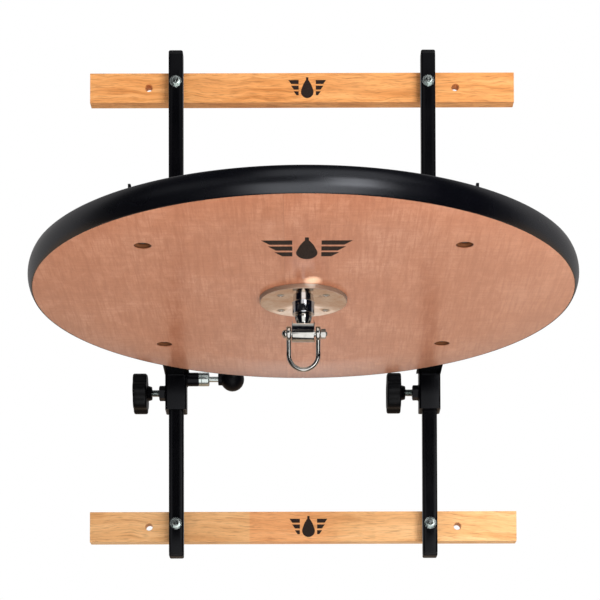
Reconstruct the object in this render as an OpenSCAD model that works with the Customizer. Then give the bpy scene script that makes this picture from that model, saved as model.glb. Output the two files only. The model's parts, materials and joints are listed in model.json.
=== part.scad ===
// Wall-mounted speed bag platform with height adjustment.
// +X is to the right, +Y goes into the wall and +Z is up, so the object faces -Y.
// The origin is on the wall plane, midway between the two boards and the two uprights.
// Every part is a separate solid at its place in the assembled object, in millimetres.

/* [Boards] */
// Length of each wall board
board_l = 562.5; // [500:0.5:640]
// Height of each wall board
board_h = 39.4; // [34:0.1:50]
// Thickness of each wall board
board_t = 17; // [15:1:20]
// Height between the centre lines of the two boards
board_pitch = 585.8; // [560:0.2:640]
// Distance between the wall screw holes of a board, which is a wall's stud spacing
stud_pitch = 406.4; // [400:0.1:410]
// Diameter of a wall screw hole
wall_hole_d = 9.5; // [5:0.5:11]

/* [Uprights] */
// Width of the square upright tube
tube_w = 19.05; // [18:0.05:20]
// Wall thickness of the upright tube
tube_wall = 1.6; // [1.2:0.1:2]
// Length of each upright tube
tube_l = 661; // [655:1:720]
// Distance between the centres of the two uprights
tube_pitch = 332.7; // [300:0.1:360]
// Height that an end cap stands beyond its tube
cap_h = 5; // [3:0.5:8]
// Step between the height pin holes
pin_step = 25; // [20:1:30]
// Diameter of a height pin hole
pin_hole_d = 7.6; // [7.4:0.1:8]

/* [Carriage] */
// Outer width of the square sleeve
sleeve_w = 28; // [27.6:0.1:30]
// Wall thickness of the sleeve
sleeve_wall = 2; // [1.5:0.1:2.5]
// Length of the sleeve
sleeve_l = 240; // [200:5:260]
// Length of a plastic liner at each end of a sleeve
liner_l = 18; // [10:1:18]
// Leg width of the steel angle arm
arm_w = 32; // [30:1:36]
// Thickness of the steel angle arm
arm_t = 3.2; // [3:0.1:4]
// Width of the diagonal brace
brace_w = 25; // [20:1:30]

/* [Disc] */
// Outer diameter of the disc with its bumper
disc_d = 609.6; // [600:0.1:620]
// Thickness of the disc
disc_t = 28; // [25:1:32]
// Distance from the wall to the disc's centre
disc_reach = 417.7; // [410:0.1:430]
// Height of the disc's underside
disc_z = -125.5; // [-130:0.5:-120]
// Distance that the bumper stands out beyond the wood
bumper_t = 4.8; // [4:0.1:6]
// Front to back distance between the disc's bolts
disc_bolt_pitch = 324.8; // [300:0.1:340]
// Diameter of the recess for a disc bolt's head
recess_d = 18.5; // [17:0.5:22]

/* [Swivel] */
// Diameter of the swivel plate
plate_d = 97.5; // [90:0.5:110]
// Thickness of the swivel plate
plate_t = 5; // [4:0.5:6]
// Diameter of the bearing housing under the plate
housing_d = 24.5; // [24:0.1:27]
// Depth of the bearing housing below the disc
housing_h = 18.6; // [18:0.1:22]
// Depth of the hook's pivot below the disc
pivot_drop = 40; // [40:0.5:44]
// Thickness of the hook's rod
hook_rod_d = 5; // [4:0.1:5.2]
// Distance between the centres of the hook's two legs
hook_span = 32.7; // [32.4:0.1:34]
// Depth of the hook's lowest point below the disc
hook_drop = 82.7; // [78:0.1:90]

/* [Clamp knobs] */
// Diameter of a clamp knob over its lobes
knob_d = 53; // [44:1:54]
// Thickness of a clamp knob
knob_t = 18.2; // [16:0.1:22]
// Number of lobes on a clamp knob
knob_lobes = 7; // [5:1:9]
// Diameter of the clamp screw
screw_d = 9.2; // [8:0.1:9.6]
// Height of the clamp screws
clamp_z = -118.5; // [-121:0.5:-118]

/* [Pull pin] */
// Diameter of the pull pin's rod
pin_d = 7; // [6:0.1:7]
// Diameter of the pull pin's housing and barrel
barrel_d = 17.6; // [17:0.1:20]
// Diameter of the ball knob
ball_knob_d = 31; // [26:0.5:36]
// Height of the pull pin
pin_z = -100; // [-101:0.5:-100]

/* [Hidden] */
$fn = 72;

// Colours
wood_pale = "#dca75e";
wood_disc = "#c08468";
powder_black = "#1c1c20";
plastic_black = "#26262a";
rubber_black = "#1a1b20";
zinc = "#b9c0be";
oxide_black = "#2a2b2e";
chrome = "#d4d6d8";
liner_black = "#232326";
brass = "#b8965a";

// Overlap that makes a cut run cleanly past a face
past = 0.5;
// Radial gap of a running fit
run = 0.05;

// Uprights and sleeves
side_x = tube_pitch / 2;
tube_y = -board_t - tube_w / 2;
tube_in = tube_w - 2 * tube_wall;
board_z = board_pitch / 2;
sleeve_in = sleeve_w - 2 * sleeve_wall;
sleeve_low = disc_z - 17.5;
sleeve_front = tube_y - sleeve_w / 2;

// Whole pin steps that the sleeves can travel down and up before they meet a board
travel_gap = 2;
steps_down = floor((sleeve_low + board_z - board_h / 2 - travel_gap) / pin_step);
steps_up = floor((board_z - board_h / 2 - sleeve_low - sleeve_l - travel_gap) / pin_step);

// Fasteners that join the frame: M6 carriage bolts from the back of the boards. A bolt's thread
// ends beyond its nut by thread_out.
thread_out = 2;
frame_bolt_d = 6;
frame_hole_d = 6.5;
frame_head_d = 14;
frame_head_t = 3.2;
frame_recess_d = 15;
frame_recess_t = 4.5;
frame_washer_d = 16;
frame_washer_t = 1.4;
frame_nut_af = 10;
frame_nut_t = 5;

// Disc, its bumper and its M8 bolts
disc_y = -disc_reach;
disc_top = disc_z + disc_t;
wood_r = disc_d / 2 - bumper_t;
groove_h = 3;
groove_depth = 10;
recess_t = 7;
disc_bolt_d = 8;
disc_hole_d = 8.4;
disc_head_d = 15;
disc_head_t = 4;
disc_washer_d = 17;
disc_washer_t = 1.5;
disc_nut_af = 13;
disc_nut_t = 6.5;

// Arms: the flat leg lies on the disc and the upright leg is flush with the sleeve's outer face
arm_out = side_x + sleeve_w / 2;
arm_front = disc_y - disc_bolt_pitch / 2 - 12.6;
arm_run = sleeve_front - arm_front;
arm_top = disc_top + arm_w;

// Braces: each foot stands on an arm this far behind the disc's centre, and the head's lower
// corner is this much more than the brace's width below the sleeve's top
brace_foot = 90;
brace_drop = 5;

// Swivel, as depths below the disc's underside
plate_screw_off = 25;
plate_screw_d = 4.5;
plate_screw_head_d = 9;
plate_sink_t = 2.5;
pilot_l = 14;
stem_r = 6;
race_r = 8;
ball_r = 3.175 / 2;
ball_n = 12;
cavity_r = 10.2;
floor_t = 3;
spindle_head_r = 9.8;
spindle_head_t = 4;
floor_z = disc_z - housing_h + floor_t;
ball_z = floor_z + ball_r;
stem_end = disc_z - 27.5;
block_w = 24.5;
block_r = 9;
pivot_z = disc_z - pivot_drop;
pivot_r = 3;
eye_r = 8.3;
eye_t = 5.5;
cross_nut_af = 9.4;
cross_nut_t = 5.5;

// Clamp screw, as distances from the middle of the upright towards -X
clamp_nut_af = 17;
clamp_nut_t = 8.4;
pad_d = 8.6;
pad_t = 2.2;
pad_start = tube_w / 2 + 0.02;
hub_start = 31.8;
knob_start = 37.8;
knob_end = knob_start + knob_t;
screw_end = knob_end - 6;

// Pull pin, as distances from the middle of the left upright towards +X.
// The pin is modelled drawn back: its tip is just clear of the tube, so it can run into a hole.
tip_at = tube_w / 2 + 0.3;
pin_throw = 11;
housing_floor = sleeve_w / 2 + 4;
housing_end = 29.4;
barrel_end = 43.4;
barrel_floor = barrel_end - 3;
spigot_d = 15;
spigot_start = 22;
chamber_d = 12.6;
collar_start = housing_floor + pin_throw + 0.1;
collar_t = 2.5;
neck_start = 55.1;
ball_at = 73.7;
spring_r = 4.9;
spring_wire = 0.9;
spring_turns = 5;

// Square outline with rounded corners
module round_square(w, h, r) {
    square([w - 2 * r, h], center = true);
    square([w, h - 2 * r], center = true);
    for (sx = [-1, 1], sy = [-1, 1])
        translate([sx * (w / 2 - r), sy * (h / 2 - r)]) circle(r);
}

// Hexagonal blank of a nut or a bolt's head, with its corners turned down at both ends
module hex_blank(af, t) {
    corner = af / 2 / cos(30);
    cut = (corner - af / 2) * 0.6;
    intersection() {
        cylinder(r = corner, h = t, $fn = 6);
        rotate_extrude()
            polygon([[0, 0], [af / 2, 0], [corner, cut], [corner, t - cut], [af / 2, t], [0, t]]);
    }
}

module hex_nut(af, t, bore) {
    difference() {
        hex_blank(af, t);
        translate([0, 0, -past]) cylinder(r = bore, h = t + 2 * past);
    }
}

module washer(d, bore, t) {
    difference() {
        cylinder(d = d, h = t);
        translate([0, 0, -past]) cylinder(d = bore, h = t + 2 * past);
    }
}

// Low domed head that sits on the plane z = 0 and rises towards +Z
module dome_head(d, t) {
    sphere_r = (d * d / 4 + t * t) / (2 * t);
    intersection() {
        translate([0, 0, t - sphere_r]) sphere(sphere_r);
        cylinder(d = d, h = t);
    }
}

// Places its children at the four frame bolts, on the wall plane and pointing out of the wall
module at_frame_bolts() {
    for (sx = [-1, 1], sz = [-1, 1])
        translate([sx * side_x, 0, sz * board_z]) rotate([90, 0, 0]) children();
}

// Places its children at the four disc bolts, on the disc's underside and pointing up
module at_disc_bolts() {
    for (sx = [-1, 1], sy = [-1, 1])
        translate([sx * side_x, disc_y + sy * disc_bolt_pitch / 2, disc_z]) children();
}

// Places its children at the four screws of the swivel plate, on the disc's underside
module at_plate_screws() {
    for (sx = [-1, 1], sy = [-1, 1])
        translate([sx * plate_screw_off, disc_y + sy * plate_screw_off, disc_z]) children();
}

// Places its children on the clamp screw of one side, pointing away from the tube towards -X
module at_clamp(side) {
    translate([side * side_x, tube_y, clamp_z]) rotate([0, -90, 0]) children();
}

// Places its children on the pull pin's axis, pointing towards +X from the left tube's middle
module at_pin() {
    translate([-side_x, tube_y, pin_z]) rotate([0, 90, 0]) children();
}

// --- Wall frame ---

module board(side) {
    ease_r = 1.5;
    hole_ease = 0.8;
    difference() {
        translate([0, -board_t / 2, side * board_z])
            rotate([90, 0, 90])
                linear_extrude(board_l, center = true) round_square(board_t, board_h, ease_r);
        for (sx = [-1, 1]) {
            translate([sx * stud_pitch / 2, past, side * board_z]) rotate([90, 0, 0]) {
                cylinder(d = wall_hole_d, h = board_t + 2 * past);
                translate([0, 0, board_t + past - hole_ease])
                    cylinder(d1 = wall_hole_d, d2 = wall_hole_d + 4 * hole_ease, h = 2 * hole_ease);
            }
            translate([sx * side_x, past, side * board_z]) rotate([90, 0, 0]) {
                cylinder(d = frame_hole_d, h = board_t + 2 * past);
                cylinder(d = frame_recess_d, h = frame_recess_t + past);
            }
        }
    }
}

module top_board() {
    color(wood_pale) board(1);
}

module bottom_board() {
    color(wood_pale) board(-1);
}

// Square tube with the two frame bolt holes, standing in front of the boards
module upright(side) {
    difference() {
        translate([side * side_x, tube_y, 0]) linear_extrude(tube_l, center = true) difference() {
            round_square(tube_w, tube_w, 2.5);
            round_square(tube_in, tube_in, 1);
        }
        for (sz = [-1, 1])
            translate([side * side_x, tube_y, sz * board_z])
                rotate([90, 0, 0]) cylinder(d = frame_hole_d, h = tube_w + 2 * past, center = true);
    }
}

// The holes run from the lowest to the highest place of the carriage
module left_tube() {
    color(powder_black) difference() {
        upright(-1);
        for (step = [-steps_down : steps_up])
            translate([-side_x, tube_y, pin_z + step * pin_step])
                rotate([0, 90, 0]) cylinder(d = pin_hole_d, h = tube_w / 2 + past);
    }
}

module right_tube() {
    color(powder_black) upright(1);
}

// Plastic plug with a domed top, outer face up
module tube_cap() {
    plug = tube_in - 0.1;
    plug_l = 14;
    plug_wall = 1.5;
    edge = 1.2;
    top_w = tube_w - 2 * edge;
    linear_extrude(cap_h - edge) round_square(tube_w, tube_w, 2.5);
    translate([0, 0, cap_h - edge]) linear_extrude(edge) round_square(top_w, top_w, 2);
    translate([0, 0, -plug_l]) linear_extrude(plug_l) difference() {
        round_square(plug, plug, 1);
        round_square(plug - 2 * plug_wall, plug - 2 * plug_wall, 1);
    }
}

module cap_at(side, end) {
    color(plastic_black) translate([side * side_x, tube_y, end * tube_l / 2])
        rotate([end > 0 ? 0 : 180, 0, 0]) tube_cap();
}

module left_top_cap() {
    cap_at(-1, 1);
}

module right_top_cap() {
    cap_at(1, 1);
}

module left_bottom_cap() {
    cap_at(-1, -1);
}

module right_bottom_cap() {
    cap_at(1, -1);
}

frame_washer_at = board_t + tube_w;
frame_nut_at = frame_washer_at + frame_washer_t;

// Carriage bolts: the head is sunk in the board's back and the thread ends in front of the tube
module frame_bolts() {
    color(zinc) at_frame_bolts() {
        translate([0, 0, frame_recess_t]) mirror([0, 0, 1]) dome_head(frame_head_d, frame_head_t);
        translate([0, 0, frame_recess_t])
            cylinder(d = frame_bolt_d, h = frame_nut_at + frame_nut_t + thread_out - frame_recess_t);
        translate([0, 0, frame_nut_at + frame_nut_t + thread_out]) dome_head(frame_bolt_d, 1);
    }
}

module frame_washers() {
    color(zinc) at_frame_bolts() translate([0, 0, frame_washer_at])
        washer(frame_washer_d, frame_hole_d, frame_washer_t);
}

module frame_nuts() {
    color(zinc) at_frame_bolts() translate([0, 0, frame_nut_at])
        hex_nut(frame_nut_af, frame_nut_t, frame_bolt_d / 2 + 0.01);
}

// --- Carriage ---

// Square sleeve with a hole for its clamp screw on the -X side
module sleeve(side) {
    difference() {
        translate([side * side_x, tube_y, sleeve_low]) linear_extrude(sleeve_l) difference() {
            round_square(sleeve_w, sleeve_w, 3);
            round_square(sleeve_in, sleeve_in, 1);
        }
        at_clamp(side) translate([0, 0, tube_w / 2])
            cylinder(d = screw_d + 1, h = sleeve_w / 2 - tube_w / 2 + past);
    }
}

module left_sleeve() {
    color(powder_black) difference() {
        sleeve(-1);
        at_pin() translate([0, 0, tube_w / 2])
            cylinder(d = pin_d + 1, h = sleeve_w / 2 - tube_w / 2 + past);
    }
}

module right_sleeve() {
    color(powder_black) sleeve(1);
}

// Plastic bush between sleeve and tube, at the sleeve's lower (0) or upper (1) end
module liner(side, end) {
    outer = sleeve_in - 0.04;
    inner = tube_w + 2 * run;
    color(liner_black) translate([side * side_x, tube_y, sleeve_low + end * (sleeve_l - liner_l)])
        linear_extrude(liner_l) difference() {
            round_square(outer, outer, 1);
            round_square(inner, inner, 2.4);
        }
}

module left_upper_liner() {
    liner(-1, 1);
}

module left_lower_liner() {
    liner(-1, 0);
}

module right_upper_liner() {
    liner(1, 1);
}

module right_lower_liner() {
    liner(1, 0);
}

// Steel angle on top of the disc, welded end-on to the front of the sleeve
module arm(side) {
    root_r = 2.5;
    color(powder_black) difference() {
        mirror([side < 0 ? 1 : 0, 0, 0]) {
            translate([arm_out - arm_w, arm_front, disc_top])
                cube([arm_w, arm_run, arm_t]);
            translate([arm_out - arm_t, arm_front, disc_top])
                cube([arm_t, arm_run, arm_w]);
            translate([arm_out - arm_t - root_r, arm_front, disc_top + arm_t]) difference() {
                cube([root_r, arm_run, root_r]);
                translate([0, -past, root_r]) rotate([-90, 0, 0])
                    cylinder(r = root_r, h = arm_run + 2 * past);
            }
        }
        at_disc_bolts() cylinder(d = disc_hole_d, h = disc_t + arm_t + past);
    }
}

module left_arm() {
    arm(-1);
}

module right_arm() {
    arm(1);
}

// Flat bar from the sleeve's front down to the arm's upright leg, in that leg's plane.
// Its foot is cut level with the leg's top edge and its head is cut upright at the sleeve.
module brace(side) {
    foot = [disc_y + brace_foot, arm_top];
    run_y = sleeve_front - foot[0];
    rise = sleeve_low + sleeve_l - brace_w - brace_drop - arm_top;
    color(powder_black) translate([side * (arm_out - arm_t / 2), 0, 0])
        rotate([90, 0, 90]) linear_extrude(arm_t, center = true) intersection() {
            translate(foot) rotate(atan2(rise, run_y)) translate([-2 * brace_w, 0])
                square([norm([run_y, rise]) + 4 * brace_w, brace_w]);
            translate([foot[0] - 4 * brace_w, arm_top])
                square([run_y + 4 * brace_w, sleeve_l]);
        }
}

module left_brace() {
    brace(-1);
}

module right_brace() {
    brace(1);
}

module clamp_nut(side) {
    color(powder_black) at_clamp(side) translate([0, 0, sleeve_w / 2])
        hex_nut(clamp_nut_af, clamp_nut_t, screw_d / 2 + run);
}

module left_clamp_nut() {
    clamp_nut(-1);
}

module right_clamp_nut() {
    clamp_nut(1);
}

// Plywood disc with eased rims, the bumper's groove, and the bolts' and screws' holes
module disc_board() {
    ease = 0.8;
    mid = disc_t / 2;
    color(wood_disc) difference() {
        translate([0, disc_y, disc_z]) rotate_extrude($fn = 180) polygon([
            [0, 0], [wood_r - ease, 0], [wood_r, ease],
            [wood_r, mid - groove_h / 2], [wood_r - groove_depth, mid - groove_h / 2],
            [wood_r - groove_depth, mid + groove_h / 2], [wood_r, mid + groove_h / 2],
            [wood_r, disc_t - ease], [wood_r - ease, disc_t], [0, disc_t]]);
        at_disc_bolts() {
            translate([0, 0, -past]) cylinder(d = recess_d, h = recess_t + past);
            cylinder(d = disc_hole_d, h = disc_t + past);
        }
        at_plate_screws() translate([0, 0, -past]) cylinder(d = plate_screw_d, h = pilot_l + past);
    }
}

// Rubber edge moulding: a band with a bowed outer face around the wood and a tongue in its groove
module bumper() {
    mid = disc_t / 2;
    edge_t = 0.8;
    bow = bumper_t - edge_t;
    bow_r = (mid * mid + bow * bow) / (2 * bow);
    bow_half = asin(mid / bow_r);
    bow_steps = 16;
    tongue_h = groove_h - 0.1;
    color(rubber_black) translate([0, disc_y, disc_z]) rotate_extrude($fn = 180) {
        polygon(concat([[wood_r, disc_t], [wood_r, 0]], [for (i = [0 : bow_steps])
            let (a = bow_half * (2 * i / bow_steps - 1))
            [disc_d / 2 + bow_r * (cos(a) - 1), mid + bow_r * sin(a)]]));
        translate([wood_r - groove_depth + 0.3, mid - tongue_h / 2])
            square([groove_depth, tongue_h]);
    }
}

disc_nut_at = disc_t + arm_t + disc_washer_t;

// Bolts with domed heads up inside the recesses
module disc_bolts() {
    color(oxide_black) at_disc_bolts() {
        translate([0, 0, recess_t]) mirror([0, 0, 1]) dome_head(disc_head_d, disc_head_t);
        translate([0, 0, recess_t])
            cylinder(d = disc_bolt_d, h = disc_nut_at + disc_nut_t + thread_out - recess_t);
    }
}

module disc_washers() {
    color(oxide_black) at_disc_bolts() translate([0, 0, disc_t + arm_t])
        washer(disc_washer_d, disc_hole_d, disc_washer_t);
}

module disc_nuts() {
    color(oxide_black) at_disc_bolts() translate([0, 0, disc_nut_at])
        hex_nut(disc_nut_af, disc_nut_t, disc_bolt_d / 2 + 0.01);
}

// Round plate with the bearing housing below it. The housing is open at the top and has a
// floor with a bore for the spindle's stem.
module swivel_plate() {
    ease = 1;
    color(chrome) difference() {
        translate([0, disc_y, disc_z]) rotate_extrude($fn = 128) polygon([
            [0, 0], [plate_d / 2, 0], [plate_d / 2, -plate_t + ease], [plate_d / 2 - ease, -plate_t],
            [housing_d / 2, -plate_t], [housing_d / 2, -housing_h + ease],
            [housing_d / 2 - ease, -housing_h], [0, -housing_h]]);
        translate([0, disc_y, floor_z]) cylinder(r = cavity_r, h = disc_z - floor_z + past);
        translate([0, disc_y, disc_z - housing_h - past])
            cylinder(r = stem_r + run, h = floor_t + 2 * past);
        at_plate_screws() {
            translate([0, 0, -plate_t - past]) cylinder(d = plate_screw_d, h = plate_t + 2 * past);
            translate([0, 0, -plate_t - 0.01])
                cylinder(d1 = plate_screw_head_d, d2 = plate_screw_d, h = plate_sink_t + 0.1);
        }
    }
}

// Countersunk wood screws with a cross slot
module swivel_screws() {
    shank_r = plate_screw_d / 2 - 0.01;
    head_r = plate_screw_head_d / 2 - 0.02;
    shank_l = 16;
    point_l = 2.5;
    slot_w = 1;
    slot_l = 4.4;
    slot_t = 1.6;
    color(chrome) at_plate_screws() difference() {
        translate([0, 0, -plate_t]) rotate_extrude() polygon([
            [0, 0], [head_r, 0], [shank_r, plate_sink_t], [shank_r, shank_l],
            [0, shank_l + point_l]]);
        for (turn = [0, 90]) rotate(turn)
            translate([-slot_l / 2, -slot_w / 2, -plate_t - past])
                cube([slot_l, slot_w, slot_t + past]);
    }
}

// Housing of the pull pin, welded to the left sleeve
module pin_housing() {
    color(powder_black) at_pin() difference() {
        translate([0, 0, sleeve_w / 2]) cylinder(d = barrel_d, h = housing_end - sleeve_w / 2);
        cylinder(d = pin_d + 2 * run, h = housing_end);
        translate([0, 0, housing_floor]) cylinder(d = spigot_d, h = housing_end - housing_floor + past);
    }
}

// Barrel that screws into the housing and guides the rod's outer end
module pin_barrel() {
    ease = 1;
    color(zinc) at_pin() difference() {
        rotate_extrude() polygon([
            [0, spigot_start], [spigot_d / 2 - 0.01, spigot_start], [spigot_d / 2 - 0.01, housing_end],
            [barrel_d / 2, housing_end], [barrel_d / 2, barrel_end - ease],
            [barrel_d / 2 - ease, barrel_end], [0, barrel_end]]);
        translate([0, 0, spigot_start - past])
            cylinder(d = chamber_d, h = barrel_floor - spigot_start + past);
        cylinder(d = pin_d + 2 * run, h = barrel_end + past);
    }
}

// --- Pull pin ---

module pin_rod() {
    nose = 1;
    color(zinc) at_pin() rotate_extrude() polygon([
        [0, tip_at], [pin_d / 2 - nose, tip_at], [pin_d / 2, tip_at + nose],
        [pin_d / 2, collar_start], [chamber_d / 2 - 0.1, collar_start],
        [chamber_d / 2 - 0.1, collar_start + collar_t], [pin_d / 2, collar_start + collar_t],
        [pin_d / 2, ball_at], [0, ball_at]]);
}

// Coil of round wire as one closed tube, between the collar and the barrel's end wall
module pin_spring() {
    sides = 8;
    steps = 22 * spring_turns;
    gap = 0.1;
    start = collar_start + collar_t + spring_wire / 2 + gap;
    length = barrel_floor - start - spring_wire / 2 - gap;
    ring = function(i) [for (k = [0 : sides - 1])
        let (turn = 360 * spring_turns * i / steps, a = 360 * k / sides,
            r = spring_r + spring_wire / 2 * cos(a))
        [r * cos(turn), r * sin(turn), start + length * i / steps + spring_wire / 2 * sin(a)]];
    points = [for (i = [0 : steps]) each ring(i)];
    skin = [for (i = [0 : steps - 1], k = [0 : sides - 1])
        let (n = (k + 1) % sides)
        [i * sides + k, i * sides + n, (i + 1) * sides + n, (i + 1) * sides + k]];
    cap = [for (k = [sides - 1 : -1 : 0]) k];
    far_cap = [for (k = [0 : sides - 1]) steps * sides + k];
    color(zinc) at_pin() polyhedron(points, concat(skin, [cap, far_cap]), convexity = 8);
}

// Ball with a short neck, screwed onto the rod
module ball_knob() {
    neck_d = 15.5;
    color(plastic_black) at_pin() difference() {
        union() {
            translate([0, 0, ball_at]) sphere(d = ball_knob_d, $fn = 96);
            translate([0, 0, neck_start]) cylinder(d = neck_d, h = ball_at - neck_start);
        }
        translate([0, 0, neck_start - past]) cylinder(d = pin_d, h = ball_at - neck_start + past);
    }
}

// --- Clamp knobs ---

// Brass-tipped pad on the screw's end that presses on the tube without turning
module pressure_pad(side) {
    color(brass) at_clamp(side) translate([0, 0, pad_start]) cylinder(d = pad_d, h = pad_t);
}

module clamp_screw(side) {
    start = pad_start + pad_t + 0.02;
    color(zinc) at_clamp(side) translate([0, 0, start])
        cylinder(d = screw_d, h = screw_end - start);
}

// Lobed knob with a tapered hub towards the sleeve and a blind hole for the screw
module clamp_knob(side) {
    hub_r = 8.5;
    hub_root_r = 10;
    scallop_r = 8;
    scallop_t = 2.6;
    scallop_at = knob_d / 2 + scallop_r - scallop_t;
    edge = 1.5;
    color(plastic_black) at_clamp(side) difference() {
        rotate_extrude($fn = 96) polygon([
            [0, hub_start], [hub_r, hub_start], [hub_root_r, knob_start],
            [knob_d / 2 - edge, knob_start],
            [knob_d / 2, knob_start + edge], [knob_d / 2, knob_end - edge],
            [knob_d / 2 - edge, knob_end], [0, knob_end]]);
        for (i = [0 : knob_lobes - 1])
            rotate((i + 0.5) * 360 / knob_lobes) translate([scallop_at, 0, knob_start - past])
                cylinder(r = scallop_r, h = knob_t + 2 * past);
        cylinder(d = screw_d, h = screw_end);
    }
}

module left_pressure_pad() {
    pressure_pad(-1);
}

module left_clamp_screw() {
    clamp_screw(-1);
}

module left_clamp_knob() {
    clamp_knob(-1);
}

module right_pressure_pad() {
    pressure_pad(1);
}

module right_clamp_screw() {
    clamp_screw(1);
}

module right_clamp_knob() {
    clamp_knob(1);
}

// --- Swivel ---

// Headed stem that hangs on the balls inside the housing
module swivel_spindle() {
    head_z = floor_z + 2 * ball_r;
    socket_af = 6;
    color(chrome) translate([0, disc_y, 0]) difference() {
        union() {
            translate([0, 0, head_z]) cylinder(r = spindle_head_r, h = spindle_head_t);
            translate([0, 0, stem_end]) cylinder(r = stem_r, h = head_z - stem_end);
        }
        translate([0, 0, head_z + spindle_head_t - 3])
            cylinder(d = socket_af / cos(30), h = 3 + past, $fn = 6);
    }
}

module ball_cage() {
    cage_t = 1;
    color(zinc) translate([0, disc_y, ball_z]) difference() {
        cylinder(r = race_r + 1.9, h = cage_t, center = true);
        cylinder(r = race_r - 1.7, h = cage_t + 2 * past, center = true);
        for (i = [0 : ball_n - 1]) rotate(i * 360 / ball_n)
            translate([race_r, 0, 0]) cylinder(r = ball_r + run, h = cage_t + 2 * past, center = true);
    }
}

module bearing_balls() {
    color(chrome) translate([0, disc_y, ball_z]) for (i = [0 : ball_n - 1])
        rotate(i * 360 / ball_n) translate([race_r, 0, 0]) sphere(ball_r - 0.01, $fn = 24);
}

// Block that is screwed onto the stem: a rounded collar, then a cross barrel with a flat top
module swivel_block() {
    collar_top = disc_z - housing_h - 0.4;
    collar_r = 9.4;
    neck_r = 7.6;
    block_top = disc_z - 30.5;
    collar_mid = (collar_top + block_top) / 2 + 2.5;
    color(chrome) difference() {
        union() {
            translate([0, disc_y, 0]) rotate_extrude() polygon([
                [0, collar_top], [collar_r - 0.8, collar_top], [collar_r, collar_top - 0.8],
                [collar_r, collar_mid], [neck_r, block_top + 2], [neck_r, block_top - 1],
                [0, block_top - 1]]);
            translate([0, disc_y, pivot_z]) rotate([0, 90, 0])
                cylinder(r = block_r, h = block_w, center = true);
            translate([-block_w / 2, disc_y - block_r, pivot_z])
                cube([block_w, 2 * block_r, block_top - pivot_z]);
        }
        translate([0, disc_y, stem_end]) cylinder(r = stem_r + 0.01, h = collar_top - stem_end + past);
        translate([0, disc_y, pivot_z]) rotate([0, 90, 0])
            cylinder(r = pivot_r + 0.01, h = block_w + 2 * past, center = true);
    }
}

// Distance of the cross bolt's head and nut from the middle, past the hook's eyes
bolt_head_at = hook_span / 2 + eye_t / 2 + 0.3;

// Pivot of the hook: a round-headed bolt through the block, along X
module cross_bolt() {
    head_d = 9.6;
    head_t = 4.7;
    color(chrome) translate([-bolt_head_at, disc_y, pivot_z]) {
        rotate([0, 90, 0]) cylinder(r = pivot_r, h = 2 * bolt_head_at + cross_nut_t + 1.5);
        rotate([0, -90, 0]) dome_head(head_d, head_t);
    }
}

module cross_nut() {
    color(chrome) translate([bolt_head_at, disc_y, pivot_z]) rotate([0, 90, 0])
        hex_nut(cross_nut_af, cross_nut_t, pivot_r + 0.01);
}

// U-shaped hook: two eyes on the cross bolt, two legs and a half ring
module bag_hook() {
    bend_r = hook_span / 2;
    bend_z = disc_z - hook_drop + hook_rod_d / 2 + bend_r;
    leg_top = pivot_z - (pivot_r + eye_r) / 2;
    color(chrome) difference() {
        union() {
            for (sx = [-1, 1]) {
                translate([sx * bend_r, disc_y, pivot_z]) rotate([0, 90, 0])
                    cylinder(r = eye_r, h = eye_t, center = true);
                translate([sx * bend_r, disc_y, bend_z])
                    cylinder(d = hook_rod_d, h = leg_top - bend_z);
            }
            translate([0, disc_y, bend_z]) rotate([90, 180, 0]) rotate_extrude(angle = 180)
                translate([bend_r, 0]) circle(d = hook_rod_d, $fn = 32);
        }
        translate([0, disc_y, pivot_z]) rotate([0, 90, 0])
            cylinder(r = pivot_r + run, h = 2 * bolt_head_at, center = true);
    }
}

top_board();
bottom_board();
left_tube();
right_tube();
left_top_cap();
right_top_cap();
left_bottom_cap();
right_bottom_cap();
frame_bolts();
frame_washers();
frame_nuts();
left_sleeve();
right_sleeve();
left_upper_liner();
left_lower_liner();
right_upper_liner();
right_lower_liner();
left_arm();
right_arm();
left_brace();
right_brace();
left_clamp_nut();
right_clamp_nut();
disc_board();
bumper();
disc_bolts();
disc_washers();
disc_nuts();
swivel_plate();
swivel_screws();
pin_housing();
pin_barrel();
pin_rod();
pin_spring();
ball_knob();
left_pressure_pad();
left_clamp_screw();
left_clamp_knob();
right_pressure_pad();
right_clamp_screw();
right_clamp_knob();
swivel_spindle();
swivel_block();
cross_bolt();
cross_nut();
ball_cage();
bearing_balls();
bag_hook();
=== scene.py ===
"""Speed bag platform: the looks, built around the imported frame.

Metres, +X to the right, +Y into the wall, +Z up. Places and sizes come from the CAD nodes' boxes.
The small sizes that a box can't give are in millimetres, and those that several pieces share are
named once under Places.
"""
import json
import bmesh
import bpy
from math import asin, cos, degrees, pi, radians, sin, sqrt, tan, tau
from mathutils import Matrix, Vector


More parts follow.
